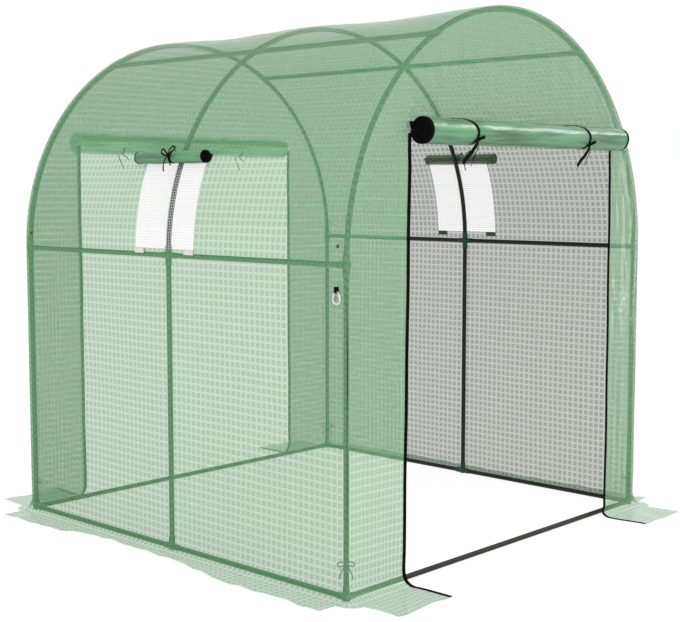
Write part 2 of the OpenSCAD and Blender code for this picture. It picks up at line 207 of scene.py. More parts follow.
# Free ends of the ties, from their knots: share of the tape's width, then points along the roll, up and out
FRONT_TAILS = (
    (1.25, ((0, 0, 0.001), (-0.020, -0.016, 0.010), (-0.048, -0.042, 0.010), (-0.070, -0.061, 0.006),
            (-0.086, -0.080, 0.004))),
    (1.0, ((0, 0, 0.001), (0.009, 0.008, 0.010), (0.024, 0.013, 0.014))),
    (0.3, ((0, 0, 0.001), (-0.010, -0.022, 0.010), (-0.026, -0.050, 0.008), (-0.039, -0.076, 0.004))),
)
BACK_TAILS = (
    (0.55, ((0, 0, 0.001), (0.006, -0.020, 0.008), (0.018, -0.046, 0.008), (0.031, -0.078, 0.004))),
    (0.55, ((0, 0, 0.001), (0.018, -0.006, 0.012), (0.042, -0.018, 0.012), (0.062, -0.036, 0.008))),
)

# Lines of the bow on a window flap's roll, from its knot: points along the roll, up and out
WINDOW_BOW = (
    ((0, 0, 0.002), (0.010, 0.012, 0.008), (0.022, 0.020, 0.012), (0.028, 0.008, 0.012),
     (0.014, -0.002, 0.006), (0, 0, 0.003)),
    ((0, 0, 0.002), (-0.010, 0.016, 0.008), (-0.030, 0.028, 0.013), (-0.050, 0.024, 0.015),
     (-0.036, 0.014, 0.012), (-0.014, 0.003, 0.006), (0, 0, 0.003)),
    ((0, 0, 0.002), (0.004, -0.020, 0.010), (0.010, -0.042, 0.008), (0.005, -0.062, 0.006)),
    ((0, 0, 0.002), (-0.010, -0.012, 0.008), (-0.022, -0.026, 0.009), (-0.031, -0.040, 0.008)),
)

# Creases of the hanging front film: x and z of both ends, height and half width
CREASES = (
    (0.738, 1.363, 0.795, 1.289, 0.0032, 0.011),
    (0.664, 1.290, 0.690, 1.205, 0.0026, 0.009),
    (0.749, 1.199, 0.786, 0.959, 0.0024, 0.011),
    (0.648, 0.960, 0.735, 0.772, 0.0040, 0.012),
    (0.832, 0.800, 0.852, 0.745, 0.0024, 0.008),
    (0.645, 0.780, 0.666, 0.715, 0.0024, 0.009),
    (-0.452, 1.850, -0.424, 1.640, 0.0030, 0.013),
    (0.200, 1.900, 0.217, 1.720, 0.0030, 0.020),
    (0.520, 1.780, 0.580, 1.690, 0.0034, 0.014),
    (-0.230, 1.680, -0.145, 1.600, 0.0028, 0.014),
)

# Waves in the film, each with a height, a wavelength both ways and a phase
TUNNEL_PUCKERS = ((0.0016, 0.37, 0.21, 0.3), (0.0012, -0.29, 0.33, 1.2), (0.0009, 0.15, 0.52, 2.2))
SIDE_FLAP_LIFT = ((0.004, 1.3, 0.19, 0.2), (0.003, -0.9, 0.11, 1.0))
END_FOLDS = ((0.0010, 0.11, 1.9, 0.4), (0.0008, 0.067, -1.1, 1.9), (0.0008, 0.19, 0.42, 0.8))
END_FLAP_EDGE = ((0.010, 0.31, 9.0, 0.9), (0.006, 0.17, 9.0, 2.1))
END_FLAP_LIFT = ((0.005, 0.23, 3.0, 0.3), (0.002, 0.11, 2.0, 1.4))

# The same in the rolls: a share of the radius, a wavelength along the roll and round it, and a phase
DOOR_ROLL_LUMPS = (
    (0.016, 0.33, 5.1, 0.3),
    (0.012, -0.21, 9.0, 1.7),
    (0.009, 0.12, 3.4, 0.9),
    (0.010, 0.57, -6.3, 2.6),
)
WINDOW_ROLL_LUMPS = ((0.02, 0.19, 4.4, 0.6), (0.016, -0.11, 7.0, 1.1))

# Places along the side flaps, and the share of its full reach that a flap has there
LEFT_REACH = (
    (-0.92, -0.70, -0.45, -0.15, 0.10, 0.36, 0.55, 0.92),
    (0.98, 0.86, 1.0, 0.52, 0.50, 0.46, 0.95, 1.0),
)
RIGHT_REACH = (
    (-0.92, -0.60, -0.30, 0.05, 0.40, 0.70, 0.92),
    (0.80, 0.97, 0.62, 0.78, 1.0, 0.66, 0.92),
)

# Studio: size and colour of the floor, the camera's sensor in millimetres and the point that the lamps face
FLOOR_SIZE = 60
FLOOR_COLOUR = (0.9, 0.9, 0.9)
SENSOR_WIDTH = 36.0
LAMP_AIM = Vector((0, -0.3, 1.0))


class GreenhouseSizes(PropertyGroup):
    """Sizes of the soft pieces and the trim"""

    weave_pitch: FloatProperty(
        name="Weave Pitch", description="Distance between the reinforcing bands of the film",
        default=0.026, min=0.005, unit="LENGTH")
    weave_band: FloatProperty(
        name="Weave Band", description="Width of a reinforcing band",
        default=0.0085, min=0.001, unit="LENGTH")
    end_weave: FloatProperty(
        name="End Weave", description="How much closer together the upright bands are in the end film",
        default=1.44, min=0.5, max=3.0)
    film_thickness: FloatProperty(
        name="Film Thickness", description="Thickness of the film",
        default=0.0004, min=0.0001, max=0.002, unit="LENGTH")
    roof_sag: FloatProperty(
        name="Roof Sag", description="How far the film dips between the hoops at the crown",
        default=0.018, min=0.0, max=0.04, unit="LENGTH")
    wall_sag: FloatProperty(
        name="Wall Sag", description="How far the film dips between the hoops on the walls and shoulders",
        default=0.008, min=0.0, max=0.03, unit="LENGTH")
    bulge_top: FloatProperty(
        name="Left Bulge at the Top",
        description="How far the front film stands out at the top of the doorway's left edge",
        default=0.0286, min=0.0, max=0.05, unit="LENGTH")
    bulge_foot: FloatProperty(
        name="Left Bulge at the Foot",
        description="How far the front film stands out at the foot of the doorway's left edge",
        default=0.010, min=0.0, max=0.05, unit="LENGTH")
    right_bulge_top: FloatProperty(
        name="Right Bulge at the Top", description="The same at the top of the doorway's right edge",
        default=0.0215, min=0.0, max=0.05, unit="LENGTH")
    right_bulge_foot: FloatProperty(
        name="Right Bulge at the Foot", description="The same at the foot of the doorway's right edge",
        default=0.029, min=0.0, max=0.05, unit="LENGTH")
    side_flare: FloatProperty(
        name="Side Flare", description="Radius at which the side film turns onto the ground",
        default=0.036, min=0.02, max=0.06, unit="LENGTH")
    net_pitch: FloatProperty(
        name="Net Pitch", description="Distance between the strands of a window net",
        default=0.010, min=0.004, unit="LENGTH")
    net_strand: FloatProperty(
        name="Net Strand", description="Width of a net's strand",
        default=0.0018, min=0.0005, unit="LENGTH")
    tape_width: FloatProperty(
        name="Tie Tape Width", description="Width of the tapes that tie the rolls",
        default=0.0115, min=0.002, unit="LENGTH")
    string_width: FloatProperty(
        name="Corner Tape Width", description="Width of the tapes that tie the cover to the legs",
        default=0.0050, min=0.001, unit="LENGTH")
    tape_thickness: FloatProperty(
        name="Tape Thickness", description="Thickness of the tapes",
        default=0.0012, min=0.0004, unit="LENGTH")
    zip_width: FloatProperty(
        name="Zip Width", description="Width of the zip tape along a doorway",
        default=0.017, min=0.004, unit="LENGTH")
    zip_pitch: FloatProperty(
        name="Zip Pitch", description="Distance between the teeth of a zip",
        default=0.004, min=0.002, unit="LENGTH")
    patch_length: FloatProperty(
        name="Patch Length", description="Length of the patch behind a fastener tab",
        default=0.052, min=0.01, unit="LENGTH")
    patch_height: FloatProperty(
        name="Patch Height", description="Height of the patch behind a fastener tab",
        default=0.018, min=0.005, unit="LENGTH")
    door_hem: FloatProperty(
        name="Door Hem", description="Width of the black tape along a rolled door's ends",
        default=0.014, min=0.002, unit="LENGTH")
    flap_hem: FloatProperty(
        name="Window Flap Hem", description="Width of the black tape along a rolled window flap's ends",
        default=0.007, min=0.002, unit="LENGTH")


class GreenhouseColours(PropertyGroup):
    """Colours, cover and shine of the materials"""

    outer_band: FloatVectorProperty(
        name="Outer Band", description="Colour of the weave's bands on the weather side",
        subtype="COLOR", default=(0.16, 0.90, 0.35), min=0, max=1)
    outer_cell: FloatVectorProperty(
        name="Outer Cell", description="Colour of the cells between the bands on the weather side",
        subtype="COLOR", default=(0.41, 0.66, 0.39), min=0, max=1)
    inner_band: FloatVectorProperty(
        name="Inner Band", description="Colour of the weave's bands on the inner side",
        subtype="COLOR", default=(0.15, 0.11, 0.08), min=0, max=1)
    inner_cell: FloatVectorProperty(
        name="Inner Cell", description="Colour of the cells between the bands on the inner side",
        subtype="COLOR", default=(0.12, 0.10, 0.07), min=0, max=1)
    outer_band_cover: FloatProperty(
        name="Outer Band Cover", description="How much a band hides on the weather side",
        subtype="FACTOR", default=0.28, min=0, max=1)
    outer_cell_cover: FloatProperty(
        name="Outer Cell Cover", description="How much a cell hides on the weather side",
        subtype="FACTOR", default=0.40, min=0, max=1)
    inner_band_cover: FloatProperty(
        name="Inner Band Cover", description="How much a band hides on the inner side",
        subtype="FACTOR", default=0.345, min=0, max=1)
    inner_cell_cover: FloatProperty(
        name="Inner Cell Cover", description="How much a cell hides on the inner side",
        subtype="FACTOR", default=0.52, min=0, max=1)
    tunnel_shine: FloatProperty(
        name="Tunnel Shine", description="Strength of the reflections on the film drawn over the hoops",
        subtype="FACTOR", default=0.08, min=0, max=1)
    end_shine: FloatProperty(
        name="End Shine", description="Strength of the reflections on the loose film at the ends",
        subtype="FACTOR", default=0.50, min=0, max=1)
    front_roll: FloatVectorProperty(
        name="Front Roll", description="Colour of the film in the rolled front door",
        subtype="COLOR", default=(0.100, 0.274, 0.130), min=0, max=1)
    # The back roll's colour is the rolled film lightened as painted light, for the light behind it
    back_roll_painted_light: FloatVectorProperty(
        name="Back Roll", description="Colour of the film in the rolled back door, with light behind it",
        subtype="COLOR", default=(0.42, 0.76, 0.49), min=0, max=1)
    window_roll: FloatVectorProperty(
        name="Window Roll", description="Colour of the film in a rolled window flap",
        subtype="COLOR", default=(0.098, 0.280, 0.122), min=0, max=1)
    black: FloatVectorProperty(
        name="Black Tape", description="Colour of the zips, ties and hems",
        subtype="COLOR", default=(0.006, 0.006, 0.006), min=0, max=1)
    string: FloatVectorProperty(
        name="Corner Tape", description="Colour of the tapes at the corner legs",
        subtype="COLOR", default=(0.02, 0.025, 0.02), min=0, max=1)
    net: FloatVectorProperty(
        name="Net", description="Colour of the window nets",
        subtype="COLOR", default=(0.90, 0.92, 0.90), min=0, max=1)
    tab: FloatVectorProperty(
        name="Tab", description="Colour of the fastener tabs",
        subtype="COLOR", default=(0.78, 0.78, 0.76), min=0, max=1)
    patch: FloatVectorProperty(
        name="Patch", description="Colour of the patches behind the tabs",
        subtype="COLOR", default=(0.09, 0.125, 0.09), min=0, max=1)
    eyelet: FloatVectorProperty(
        name="Eyelet", description="Colour of the eyelets",
        subtype="COLOR", default=(0.010, 0.050, 0.016), min=0, max=1)
    tube: FloatVectorProperty(
        name="Tube", description="Colour of the frame tubes",
        subtype="COLOR", default=(0.016, 0.0165, 0.0145), min=0, max=1)
    connector: FloatVectorProperty(
        name="Connector", description="Colour of the connectors",
        subtype="COLOR", default=(0.016, 0.066, 0.048), min=0, max=1)
    hook: FloatVectorProperty(
        name="Snap Hook", description="Colour of the snap hook",
        subtype="COLOR", default=(0.80, 0.81, 0.79), min=0, max=1)


class GreenhouseStudio(PropertyGroup):
    """Camera and light"""

    camera_place: FloatVectorProperty(
        name="Camera Place", description="Where the camera stands",
        subtype="TRANSLATION", default=(-3.903, -3.6746, 1.3509))
    camera_yaw: FloatProperty(
        name="Camera Heading", description="Heading of the camera, from +Y towards +X",
        subtype="ANGLE", default=math.radians(46.968))
    camera_pitch: FloatProperty(
        name="Camera Pitch", description="Pitch of the camera above the horizon",
        subtype="ANGLE", default=math.radians(-5.527))
    lens: FloatProperty(
        name="Lens", description="Focal length in millimetres on a sensor 36 mm wide",
        default=68.24, min=10)
    sky: FloatProperty(
        name="Sky Light", description="Strength of the even light from all round", default=0.80, min=0)
    floor_white: FloatProperty(
        name="Floor White", description="How white the floor looks where no light falls on it",
        default=0.88, min=0)
    floor_shade: FloatProperty(
        name="Floor Shade", description="How much the light that falls on the floor adds to its look",
        default=0.20, min=0)
    key: FloatProperty(
        name="Key Light", description="Power of the broad lamp on the near left", subtype="POWER",
        default=130.0, min=0)
    side: FloatProperty(
        name="Side Light", description="Power of the tall lamp that draws streaks on the front film",
        subtype="POWER", default=12.0, min=0)
    top: FloatProperty(
        name="Top Light", description="Power of the lamp that draws highlights on the rolled door",
        subtype="POWER", default=60.0, min=0)


def settings():
    scene = bpy.context.scene
    return scene.greenhouse_sizes, scene.greenhouse_colours, scene.greenhouse_studio


# Mesh helpers


def activate(obj):
    bpy.ops.object.select_all(action="DESELECT")
    obj.select_set(True)
    bpy.context.view_layer.objects.active = obj


def in_edit_mode(obj, *steps):
    """Runs edit-mode steps on the whole mesh of obj."""
    activate(obj)
    bpy.ops.object.mode_set(mode="EDIT")
    bpy.ops.mesh.select_all(action="SELECT")
    for step in steps:
        step()
    bpy.ops.object.mode_set(mode="OBJECT")


def smooth_shade(obj, angle):
    activate(obj)
    bpy.ops.object.shade_smooth_by_angle(angle=math.radians(angle))


def face_outwards(obj):
    in_edit_mode(obj, lambda: bpy.ops.mesh.normals_make_consistent(inside=False))


def apply_modifier(obj, modifier):
    activate(obj)
    bpy.ops.object.modifier_apply(modifier=modifier.name)


def spaced(stops, step):
    """Values from the first stop to the last, through every stop, about a step apart."""
    parts = [
        np.linspace(a, b, max(1, math.ceil((b - a) / step)), endpoint=False)
        for a, b in zip(stops, stops[1:])
    ]
    return np.concatenate(parts + [[stops[-1]]])


def ease(low, high, x):
    """0 below low, 1 above high and smooth between them."""
    t = np.clip((np.asarray(x, float) - low) / (high - low), 0, 1)
    return t * t * (3 - 2 * t)


def ripple(u, v, waves):
    """A sum of waves, each with a height, a wavelength along u and along v, and a phase."""
    return sum(h * np.sin(2 * np.pi * (u / lu + v / lv) + p) for h, lu, lv, p in waves)


def bell(depth, width, off):
    """A hump of this depth and half width, at distances off its middle."""
    return depth * np.exp(-((off / width) ** 2))


def sheet_piece(name, columns, rows, place, kind=None, keep=None):
    """A sheet on a grid. place turns the columns' and rows' values into points and flat coordinates.
    kind gives each face's first material slot, and keep says which faces stay."""
    bpy.ops.object.select_all(action="DESELECT")
    bpy.ops.mesh.primitive_grid_add(x_subdivisions=len(columns) - 1, y_subdivisions=len(rows) - 1, size=1)
    obj = bpy.context.active_object
    obj.name = obj.data.name = name
    mesh = obj.data
    flat = np.empty(len(mesh.vertices) * 3)
    mesh.vertices.foreach_get("co", flat)
    flat = flat.reshape(-1, 3)
    u = columns[np.rint((flat[:, 0] + 0.5) * (len(columns) - 1)).astype(int)]
    v = rows[np.rint((flat[:, 1] + 0.5) * (len(rows) - 1)).astype(int)]
    points, cloth = place(u, v)
    mesh.vertices.foreach_set("co", np.ascontiguousarray(points).ravel())
    corner = np.empty(len(mesh.loops), int)
    mesh.loops.foreach_get("vertex_index", corner)
    mesh.uv_layers.active.data.foreach_set("uv", np.ascontiguousarray(cloth[corner]).ravel())
    quads = corner.reshape(-1, 4)
    mid_u, mid_v = u[quads].mean(1), v[quads].mean(1)
    if kind is not None:
        mesh.polygons.foreach_set("material_index", kind(mid_u, mid_v).astype(np.int32))
    mesh.update()
    if keep is not None:
        stays = keep(mid_u, mid_v)
        in_edit_mode(obj, lambda: bpy.ops.mesh.select_all(action="DESELECT"))
        mesh.polygons.foreach_set("select", ~stays)
        activate(obj)
        bpy.ops.object.mode_set(mode="EDIT")
        bpy.ops.mesh.select_mode(type="FACE")
        bpy.ops.mesh.delete(type="FACE")
        bpy.ops.object.mode_set(mode="OBJECT")
    in_edit_mode(obj, lambda: bpy.ops.mesh.remove_doubles(threshold=1e-5))
    return obj


def thicken(obj, thickness, materials, inner_step):
    """Makes a sheet into a closed shell. Inner faces take the material inner_step after the outer ones'."""
    for material in materials:
        obj.data.materials.append(material)
    shell = obj.modifiers.new("Thickness", "SOLIDIFY")
    shell.thickness = thickness
    shell.offset = 0
    shell.material_offset = inner_step
    apply_modifier(obj, shell)


def through(points, per=8):
    """A smooth line through the points."""
    p = np.asarray(points, float)
    p = np.vstack([2 * p[0] - p[1], p, 2 * p[-1] - p[-2]])
    t = np.linspace(0, 1, per, endpoint=False)[:, None]
    parts = []
    for a, b, c, d in zip(p, p[1:], p[2:], p[3:]):
        parts.append(0.5 * (2 * b + (c - a) * t + (2 * a - 5 * b + 4 * c - d) * t**2
                            + (3 * b - a - 3 * c + d) * t**3))
    return np.vstack(parts + [p[-2:-1]])


def unit(v):
    return v / np.maximum(np.linalg.norm(v, axis=-1, keepdims=True), 1e-12)


def tape(line, out, width, thickness):
    """Vertices and faces of a flat tape along a line, with its flat side towards out."""
    line = np.asarray(line, float)
    along = unit(np.gradient(line, axis=0))
    out = np.broadcast_to(np.asarray(out, float), line.shape)
    side = unit(np.cross(along, out))
    face = unit(np.cross(side, along))
    w, t = width / 2, thickness / 2
    level, edge = w * 0.8, t * 0.4
    ring = [(-w, -edge), (-w, edge), (-level, t), (level, t)]
    ring += [(-a, -b) for a, b in ring]
    points = np.stack([line + side * a + face * b for a, b in ring], 1).reshape(-1, 3)
    n, k = len(line), len(ring)
    faces = [
        (i * k + j, i * k + (j + 1) % k, (i + 1) * k + (j + 1) % k, (i + 1) * k + j)
        for i in range(n - 1) for j in range(k)
    ]
    faces += [tuple(range(k))[::-1], tuple((n - 1) * k + j for j in range(k))]
    return points, faces


def boxes(centres, along, out, size):
    """Vertices and faces of small boxes at the centres. size is along, across and out."""
    along, out = unit(along), unit(out)
    side = np.cross(along, out)
    ends = (-1, 1)
    corners = np.array([(a, b, c) for a in ends for b in ends for c in ends]) / 2 * np.asarray(size)
    points = (
        centres[:, None] + corners[None, :, :1] * along[:, None] + corners[None, :, 1:2] * side[:, None]
        + corners[None, :, 2:] * out[:, None]
    ).reshape(-1, 3)
    sides = [(0, 1, 3, 2), (4, 6, 7, 5), (0, 4, 5, 1), (2, 3, 7, 6), (0, 2, 6, 4), (1, 5, 7, 3)]
    faces = [tuple(8 * i + j for j in f) for i in range(len(centres)) for f in sides]
    return points, faces


def joined_piece(name, parts, material):
    """One mesh from several sets of vertices and faces."""
    points, faces, count = [], [], 0
    for p, f in parts:
        points.append(p)
        faces += [tuple(i + count for i in face) for face in f]
        count += len(p)
    mesh = bpy.data.meshes.new(name)
    mesh.from_pydata(np.vstack(points).tolist(), [], faces)
    mesh.materials.append(material)
    obj = bpy.data.objects.new(name, mesh)
    bpy.context.scene.collection.objects.link(obj)
    face_outwards(obj)
    smooth_shade(obj, angle=35)
    return obj


def seat(obj, slot, *nodes):
    """Ties a piece to the frame and hides the CAD nodes that it stands for. The slot argument is not used."""
    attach(obj, "root")
    if nodes:
        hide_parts(*nodes)


# Materials


class NodeTree:
    """The node tree of a material or a world, with short ways to add and join nodes."""

    def __init__(self, owner, output="OutputMaterial"):
        owner.use_nodes = True
        self.owner = owner
        self.tree = owner.node_tree
        self.tree.nodes.clear()
        self.output = self.node(output)

    def put(self, socket, value):
        if isinstance(value, bpy.types.NodeSocket):
            self.tree.links.new(value, socket)
        else:
            socket.default_value = value

    def node(self, kind, inputs=None, **options):
        made = self.tree.nodes.new("ShaderNode" + kind)
        for key, value in options.items():
            setattr(made, key, value)
        for key, value in (inputs or {}).items():
            self.put(made.inputs[key], value)
        return made

    def calc(self, operation, *values):
        made = self.node("Math", operation=operation)
        for socket, value in zip(made.inputs, values):
            self.put(socket, value)
        return made.outputs[0]

    def mix(self, share, a, b):
        """Colour between a and b. The Mix node's colours are its inputs 6 and 7 and its output 2."""
        made = self.node("Mix", data_type="RGBA")
        for socket, value in zip((made.inputs[0], made.inputs[6], made.inputs[7]), (share, a, b)):
            self.put(socket, value)
        return made.outputs[2]

    def between(self, share, low, high):
        """low where share is 0 and high where it is 1."""
        return self.node("MapRange", {"Value": share, "To Min": low, "To Max": high}).outputs[0]

    def spread(self, value, low, high):
        """0 where value is low and 1 where it is high."""
        return self.node("MapRange", {"Value": value, "From Min": low, "From Max": high}).outputs[0]

    def noise(self, scale, detail):
        where = self.node("TexCoord").outputs["Object"]
        return self.node("TexNoise", {"Vector": where, "Scale": scale, "Detail": detail}).outputs[0]

    def bump(self, height, strength, distance, over=None):
        """Relief from a height, on top of the relief that over gives."""
        made = self.node("Bump", {"Height": height, "Strength": strength, "Distance": distance})
        if over is not None:
            self.put(made.inputs["Normal"], over)
        return made.outputs[0]

    def seen(self):
        """1 for the camera, reflections and views through glass, and 0 for light that falls on things."""
        path = self.node("LightPath").outputs
        bounced = self.calc("MAXIMUM", path["Is Glossy Ray"], path["Is Transmission Ray"])
        return self.calc("MAXIMUM", path["Is Camera Ray"], bounced)

    def finish(self, **inputs):
        shader = self.node("BsdfPrincipled", {k.replace("_", " "): v for k, v in inputs.items()})
        self.put(self.output.inputs[0], shader.outputs[0])
        return self.owner


def material_nodes(name):
    return NodeTree(bpy.data.materials.get(name) or bpy.data.materials.new(name))


def rgba(colour, scale=1.0):
    return tuple(min(1.0, c * scale) for c in colour) + (1.0,)


def weave_mask(nodes, pitch, band):
    """1 on the reinforcing bands that run both ways and 0 in the cells between them."""
    uv = nodes.node("UVMap").outputs[0]
    parts = nodes.node("SeparateXYZ", {0: uv})
    edge, soft = 0.5 - band / pitch / 2, 0.035
    masks = []
    for axis in (0, 1):
        phase = nodes.calc("FRACT", nodes.calc("MULTIPLY", parts.outputs[axis], 1 / pitch))
        off = nodes.calc("ABSOLUTE", nodes.calc("SUBTRACT", phase, 0.5))
        masks.append(nodes.spread(off, edge - soft, edge + soft))
    return nodes.calc("MAXIMUM", *masks)


def film_material(name, band, cell, band_cover, cell_cover, shine):
    """Thin woven film: pale bands both ways and denser cells between them."""
    sizes, _, _ = settings()
    nodes = material_nodes(name)
    mask = weave_mask(nodes, sizes.weave_pitch, sizes.weave_band)
    crease = nodes.bump(nodes.noise(scale=5.0, detail=3), strength=0.06, distance=0.008)
    relief = nodes.bump(mask, strength=0.08, distance=0.0005, over=crease)
    return nodes.finish(
        Base_Color=nodes.mix(mask, rgba(cell), rgba(band)),
        Alpha=nodes.between(mask, cell_cover, band_cover),
        Roughness=nodes.between(nodes.noise(scale=11.0, detail=2), low=0.12, high=0.20),
        Normal=relief, IOR=1.35, Specular_IOR_Level=shine)


def film_materials(place, shine):
    """Materials of the film's weather side and inner side at a place, with its share of shine."""
    _, colours, _ = settings()
    return [
        film_material(place + " film outside", colours.outer_band, colours.outer_cell,
                      colours.outer_band_cover, colours.outer_cell_cover, shine),
        film_material(place + " film inside", colours.inner_band, colours.inner_cell,
                      colours.inner_band_cover, colours.inner_cell_cover, shine),
    ]


def rolled_material(name, colour, painted_wall_shade=None):
    """The same film in many layers: its weave hardly shows, and its folds draw streaks along the roll. The
    streaks also lighten and darken its colour, as painted highlights and painted shade along the folds.
    The last argument, if given, paints shade on the side of the roll towards the wall: two distances from the
    arches' axis and how much light is left at the nearer one."""
    nodes = material_nodes(name)
    cloth = nodes.node("Mapping", {"Vector": nodes.node("UVMap").outputs[0], "Scale": (55.0, 3.2, 1.0)})
    streaks = nodes.node("TexNoise", {"Vector": cloth.outputs[0], "Scale": 1.0, "Detail": 3.0}).outputs[0]
    streaks = nodes.spread(streaks, low=0.33, high=0.67)
    # Painted highlights and painted shade: the colour runs lighter and darker along the streaks of the folds
    tint = nodes.mix(streaks, rgba(colour, 0.55), rgba(colour, 1.45))
    # Painted shade: the colour darkens towards the wall, on the side of the roll that faces it
    if painted_wall_shade:
        near, far, left = painted_wall_shade
        place = nodes.node("SeparateXYZ", {0: nodes.node("TexCoord").outputs["Object"]}).outputs
        across = nodes.calc("POWER", place[0], 2.0)
        up = nodes.calc("POWER", nodes.calc("SUBTRACT", place[2], SPRING_Z), 2.0)
        away = nodes.calc("SQRT", nodes.calc("ADD", across, up))
        tint = nodes.mix(nodes.spread(away, near, far), rgba(colour, left), tint)
    folds = nodes.bump(streaks, strength=0.20, distance=0.004)
    crease = nodes.bump(nodes.noise(scale=22.0, detail=4), strength=0.35, distance=0.006, over=folds)
    return nodes.finish(
        Base_Color=tint, Roughness=nodes.between(nodes.noise(scale=15.0, detail=2), low=0.16, high=0.32),
        Normal=crease, IOR=1.5)


def fabric_material(name, colour, grain=900.0, roughness=0.85):
    nodes = material_nodes(name)
    tint = nodes.mix(nodes.noise(scale=60.0, detail=3), rgba(colour, 0.82), rgba(colour, 1.18))
    weave = nodes.bump(nodes.noise(grain, detail=2), strength=0.3, distance=0.0006)
    worn = nodes.between(nodes.noise(scale=45.0, detail=2), roughness - 0.1, roughness)
    return nodes.finish(Base_Color=tint, Roughness=worn, Normal=weave, Specular_IOR_Level=0.02)


def black_tape():
    _, colours, _ = settings()
    return fabric_material("black tape", colours.black)


def tube_material(colour):
    nodes = material_nodes("frame tube paint")
    tint = nodes.mix(nodes.noise(scale=14.0, detail=5), rgba(colour, 0.75), rgba(colour, 1.4))
    skin = nodes.bump(nodes.noise(scale=700.0, detail=2), strength=0.12, distance=0.0004)
    worn = nodes.between(nodes.noise(scale=30.0, detail=3), low=0.30, high=0.46)
    return nodes.finish(
        Base_Color=tint, Metallic=0.15, Roughness=worn, Normal=skin, Specular_IOR_Level=0.25)


def plastic_material(name, colour, rough=(0.38, 0.55)):
    nodes = material_nodes(name)
    tint = nodes.mix(nodes.noise(scale=20.0, detail=3), rgba(colour, 0.85), rgba(colour, 1.2))
    skin = nodes.bump(nodes.noise(scale=850.0, detail=2), strength=0.15, distance=0.0004)
    worn = nodes.between(nodes.noise(scale=40.0, detail=2), *rough)
    return nodes.finish(Base_Color=tint, Roughness=worn, Normal=skin, Specular_IOR_Level=0.3)


# Shapes of the cover


def tunnel_points(s, y):
    """Points and outward directions on the tunnel's film. s runs along the section from the crown."""
    sizes, _, _ = settings()
    r, flare = COVER_R - FILM_MID, sizes.side_flare
    side, a = np.sign(s), np.abs(s)
    spring, wall = r * math.pi / 2, SPRING_Z - flare - FILM_MID
    turn = np.clip((a - spring - wall) / flare, 0, math.pi / 2)
    arch = np.minimum(a, spring) / r
    down = np.clip(a - spring, 0, wall)
    run = np.maximum(a - spring - wall - flare * math.pi / 2, 0) * soft_flap_reach(y, side)
    x = r * np.sin(arch) + flare * (1 - np.cos(turn)) + run
    z = SPRING_Z + r * np.cos(arch) - down - flare * np.sin(turn)
    on_arch = a < spring
    nx = np.where(on_arch, np.sin(arch), np.cos(turn))
    nz = np.where(on_arch, np.cos(arch), np.sin(turn))
    return np.stack([side * x, y, z], 1), np.stack([side * nx, 0 * y, nz], 1)


def tunnel_length():
    """Length of film from the crown to the edge of a side flap, and where its flat part starts."""
    sizes, _, _ = settings()
    r, flare = COVER_R - FILM_MID, sizes.side_flare
    flat = r * math.pi / 2 + SPRING_Z - flare - FILM_MID + flare * math.pi / 2
    return flat + SIDE_FLAP_X - r - flare, flat


def end_profile(t):
    """Distance out from the end wall and height on the film that runs up an end, with its direction.
    t is 0 at the top of the flare and grows upwards."""
    turn = np.clip(-t / FLARE_R, 0, math.pi / 2)
    run = np.maximum(-t - FLARE_LENGTH, 0)
    out = FLARE_R * (1 - np.cos(turn)) + run
    z = END_FLARE + np.maximum(t, 0) - FLARE_R * np.sin(turn)
    return out, z, np.cos(turn), np.sin(turn)


def end_height(x, t):
    """Squeezes the height above the spring line under the arch, with a level line at the doorway's head."""
    top = SPRING_Z - END_FLARE
    full = math.sqrt(SEAM_X**2 - DOOR_X**2)
    rise = np.sqrt(np.maximum(SEAM_X**2 - x**2, 0))
    head = (DOOR_Z - SPRING_Z) * np.minimum(rise / full, 1)
    low = np.clip((t - top) / (DOOR_Z - SPRING_Z), 0, 1)
    high = np.clip((t - top - (DOOR_Z - SPRING_Z)) / (SPRING_Z + SEAM_X - DOOR_Z), 0, 1)
    return np.where(t > top, top + head * low + (rise - head) * high, t)


def crease_height(x, z):
    """Height of the creases at places on the front film."""
    total = 0 * x
    for x0, z0, x1, z1, height, width in CREASES:
        dx, dz = x1 - x0, z1 - z0
        share = ((x - x0) * dx + (z - z0) * dz) / (dx * dx + dz * dz)
        off = np.hypot(x - x0 - share * dx, z - z0 - share * dz)
        fade = ease(-0.3, 0.3, share) * ease(-1.3, -0.8, -share)
        total = total + bell(height, width, off) * fade
    return total


def end_bulge(x, z, slack):
    """How far an end film stands out from flat: it hangs free at the doorway's edges and the hoop holds it.
    slack is 1 at the front and less at the back, which is drawn tighter."""
    sizes, _, _ = settings()
    beyond = np.abs(x) - DOOR_X
    rise = np.sqrt(np.maximum(SEAM_X**2 - x**2, 0)) + SPRING_Z
    free = 1 - ease(0.0, SEAM_X - DOOR_X, beyond)
    foot = np.where(x < 0, sizes.bulge_foot, sizes.right_bulge_foot)
    top = np.where(x < 0, sizes.bulge_top, sizes.right_bulge_top)
    lean = foot + (top - foot) * np.minimum(z / DOOR_Z, 1)
    easing = -TUCK_WIDTH - np.clip(z - DOOR_Z - TUCK_RISE, 0, TUCK_SPREAD)
    tucked = TUCK_LEFT * slack
    behind = np.where(z > DOOR_Z, tucked + (1 - tucked) * ease(easing, 0.0, beyond), 1)
    below_hoop = ease(0.0, HOOP_HOLD, rise - z)
    held = (1 - ease(0.0, HANG_FADE, z - DOOR_Z)) * below_hoop * ease(0.0, GROUND_HOLD, z)
    hang = free * lean * behind * held
    under = 1 - ease(DOOR_Z - STILL_BELOW[0], DOOR_Z - STILL_BELOW[1], z)
    above = ease(DOOR_Z + STILL_ABOVE[0], DOOR_Z + STILL_ABOVE[1], z)
    room = below_hoop * ease(*FOLD_START, z) * np.where(z < DOOR_Z, under, above)
    folds = FOLD_OUT + ripple(x, z, END_FOLDS)
    gable = GABLE_SWELL * above * ease(*GABLE_START, rise - z)
    return slack * (hang + room * crease_height(x, z)) + room * folds + gable


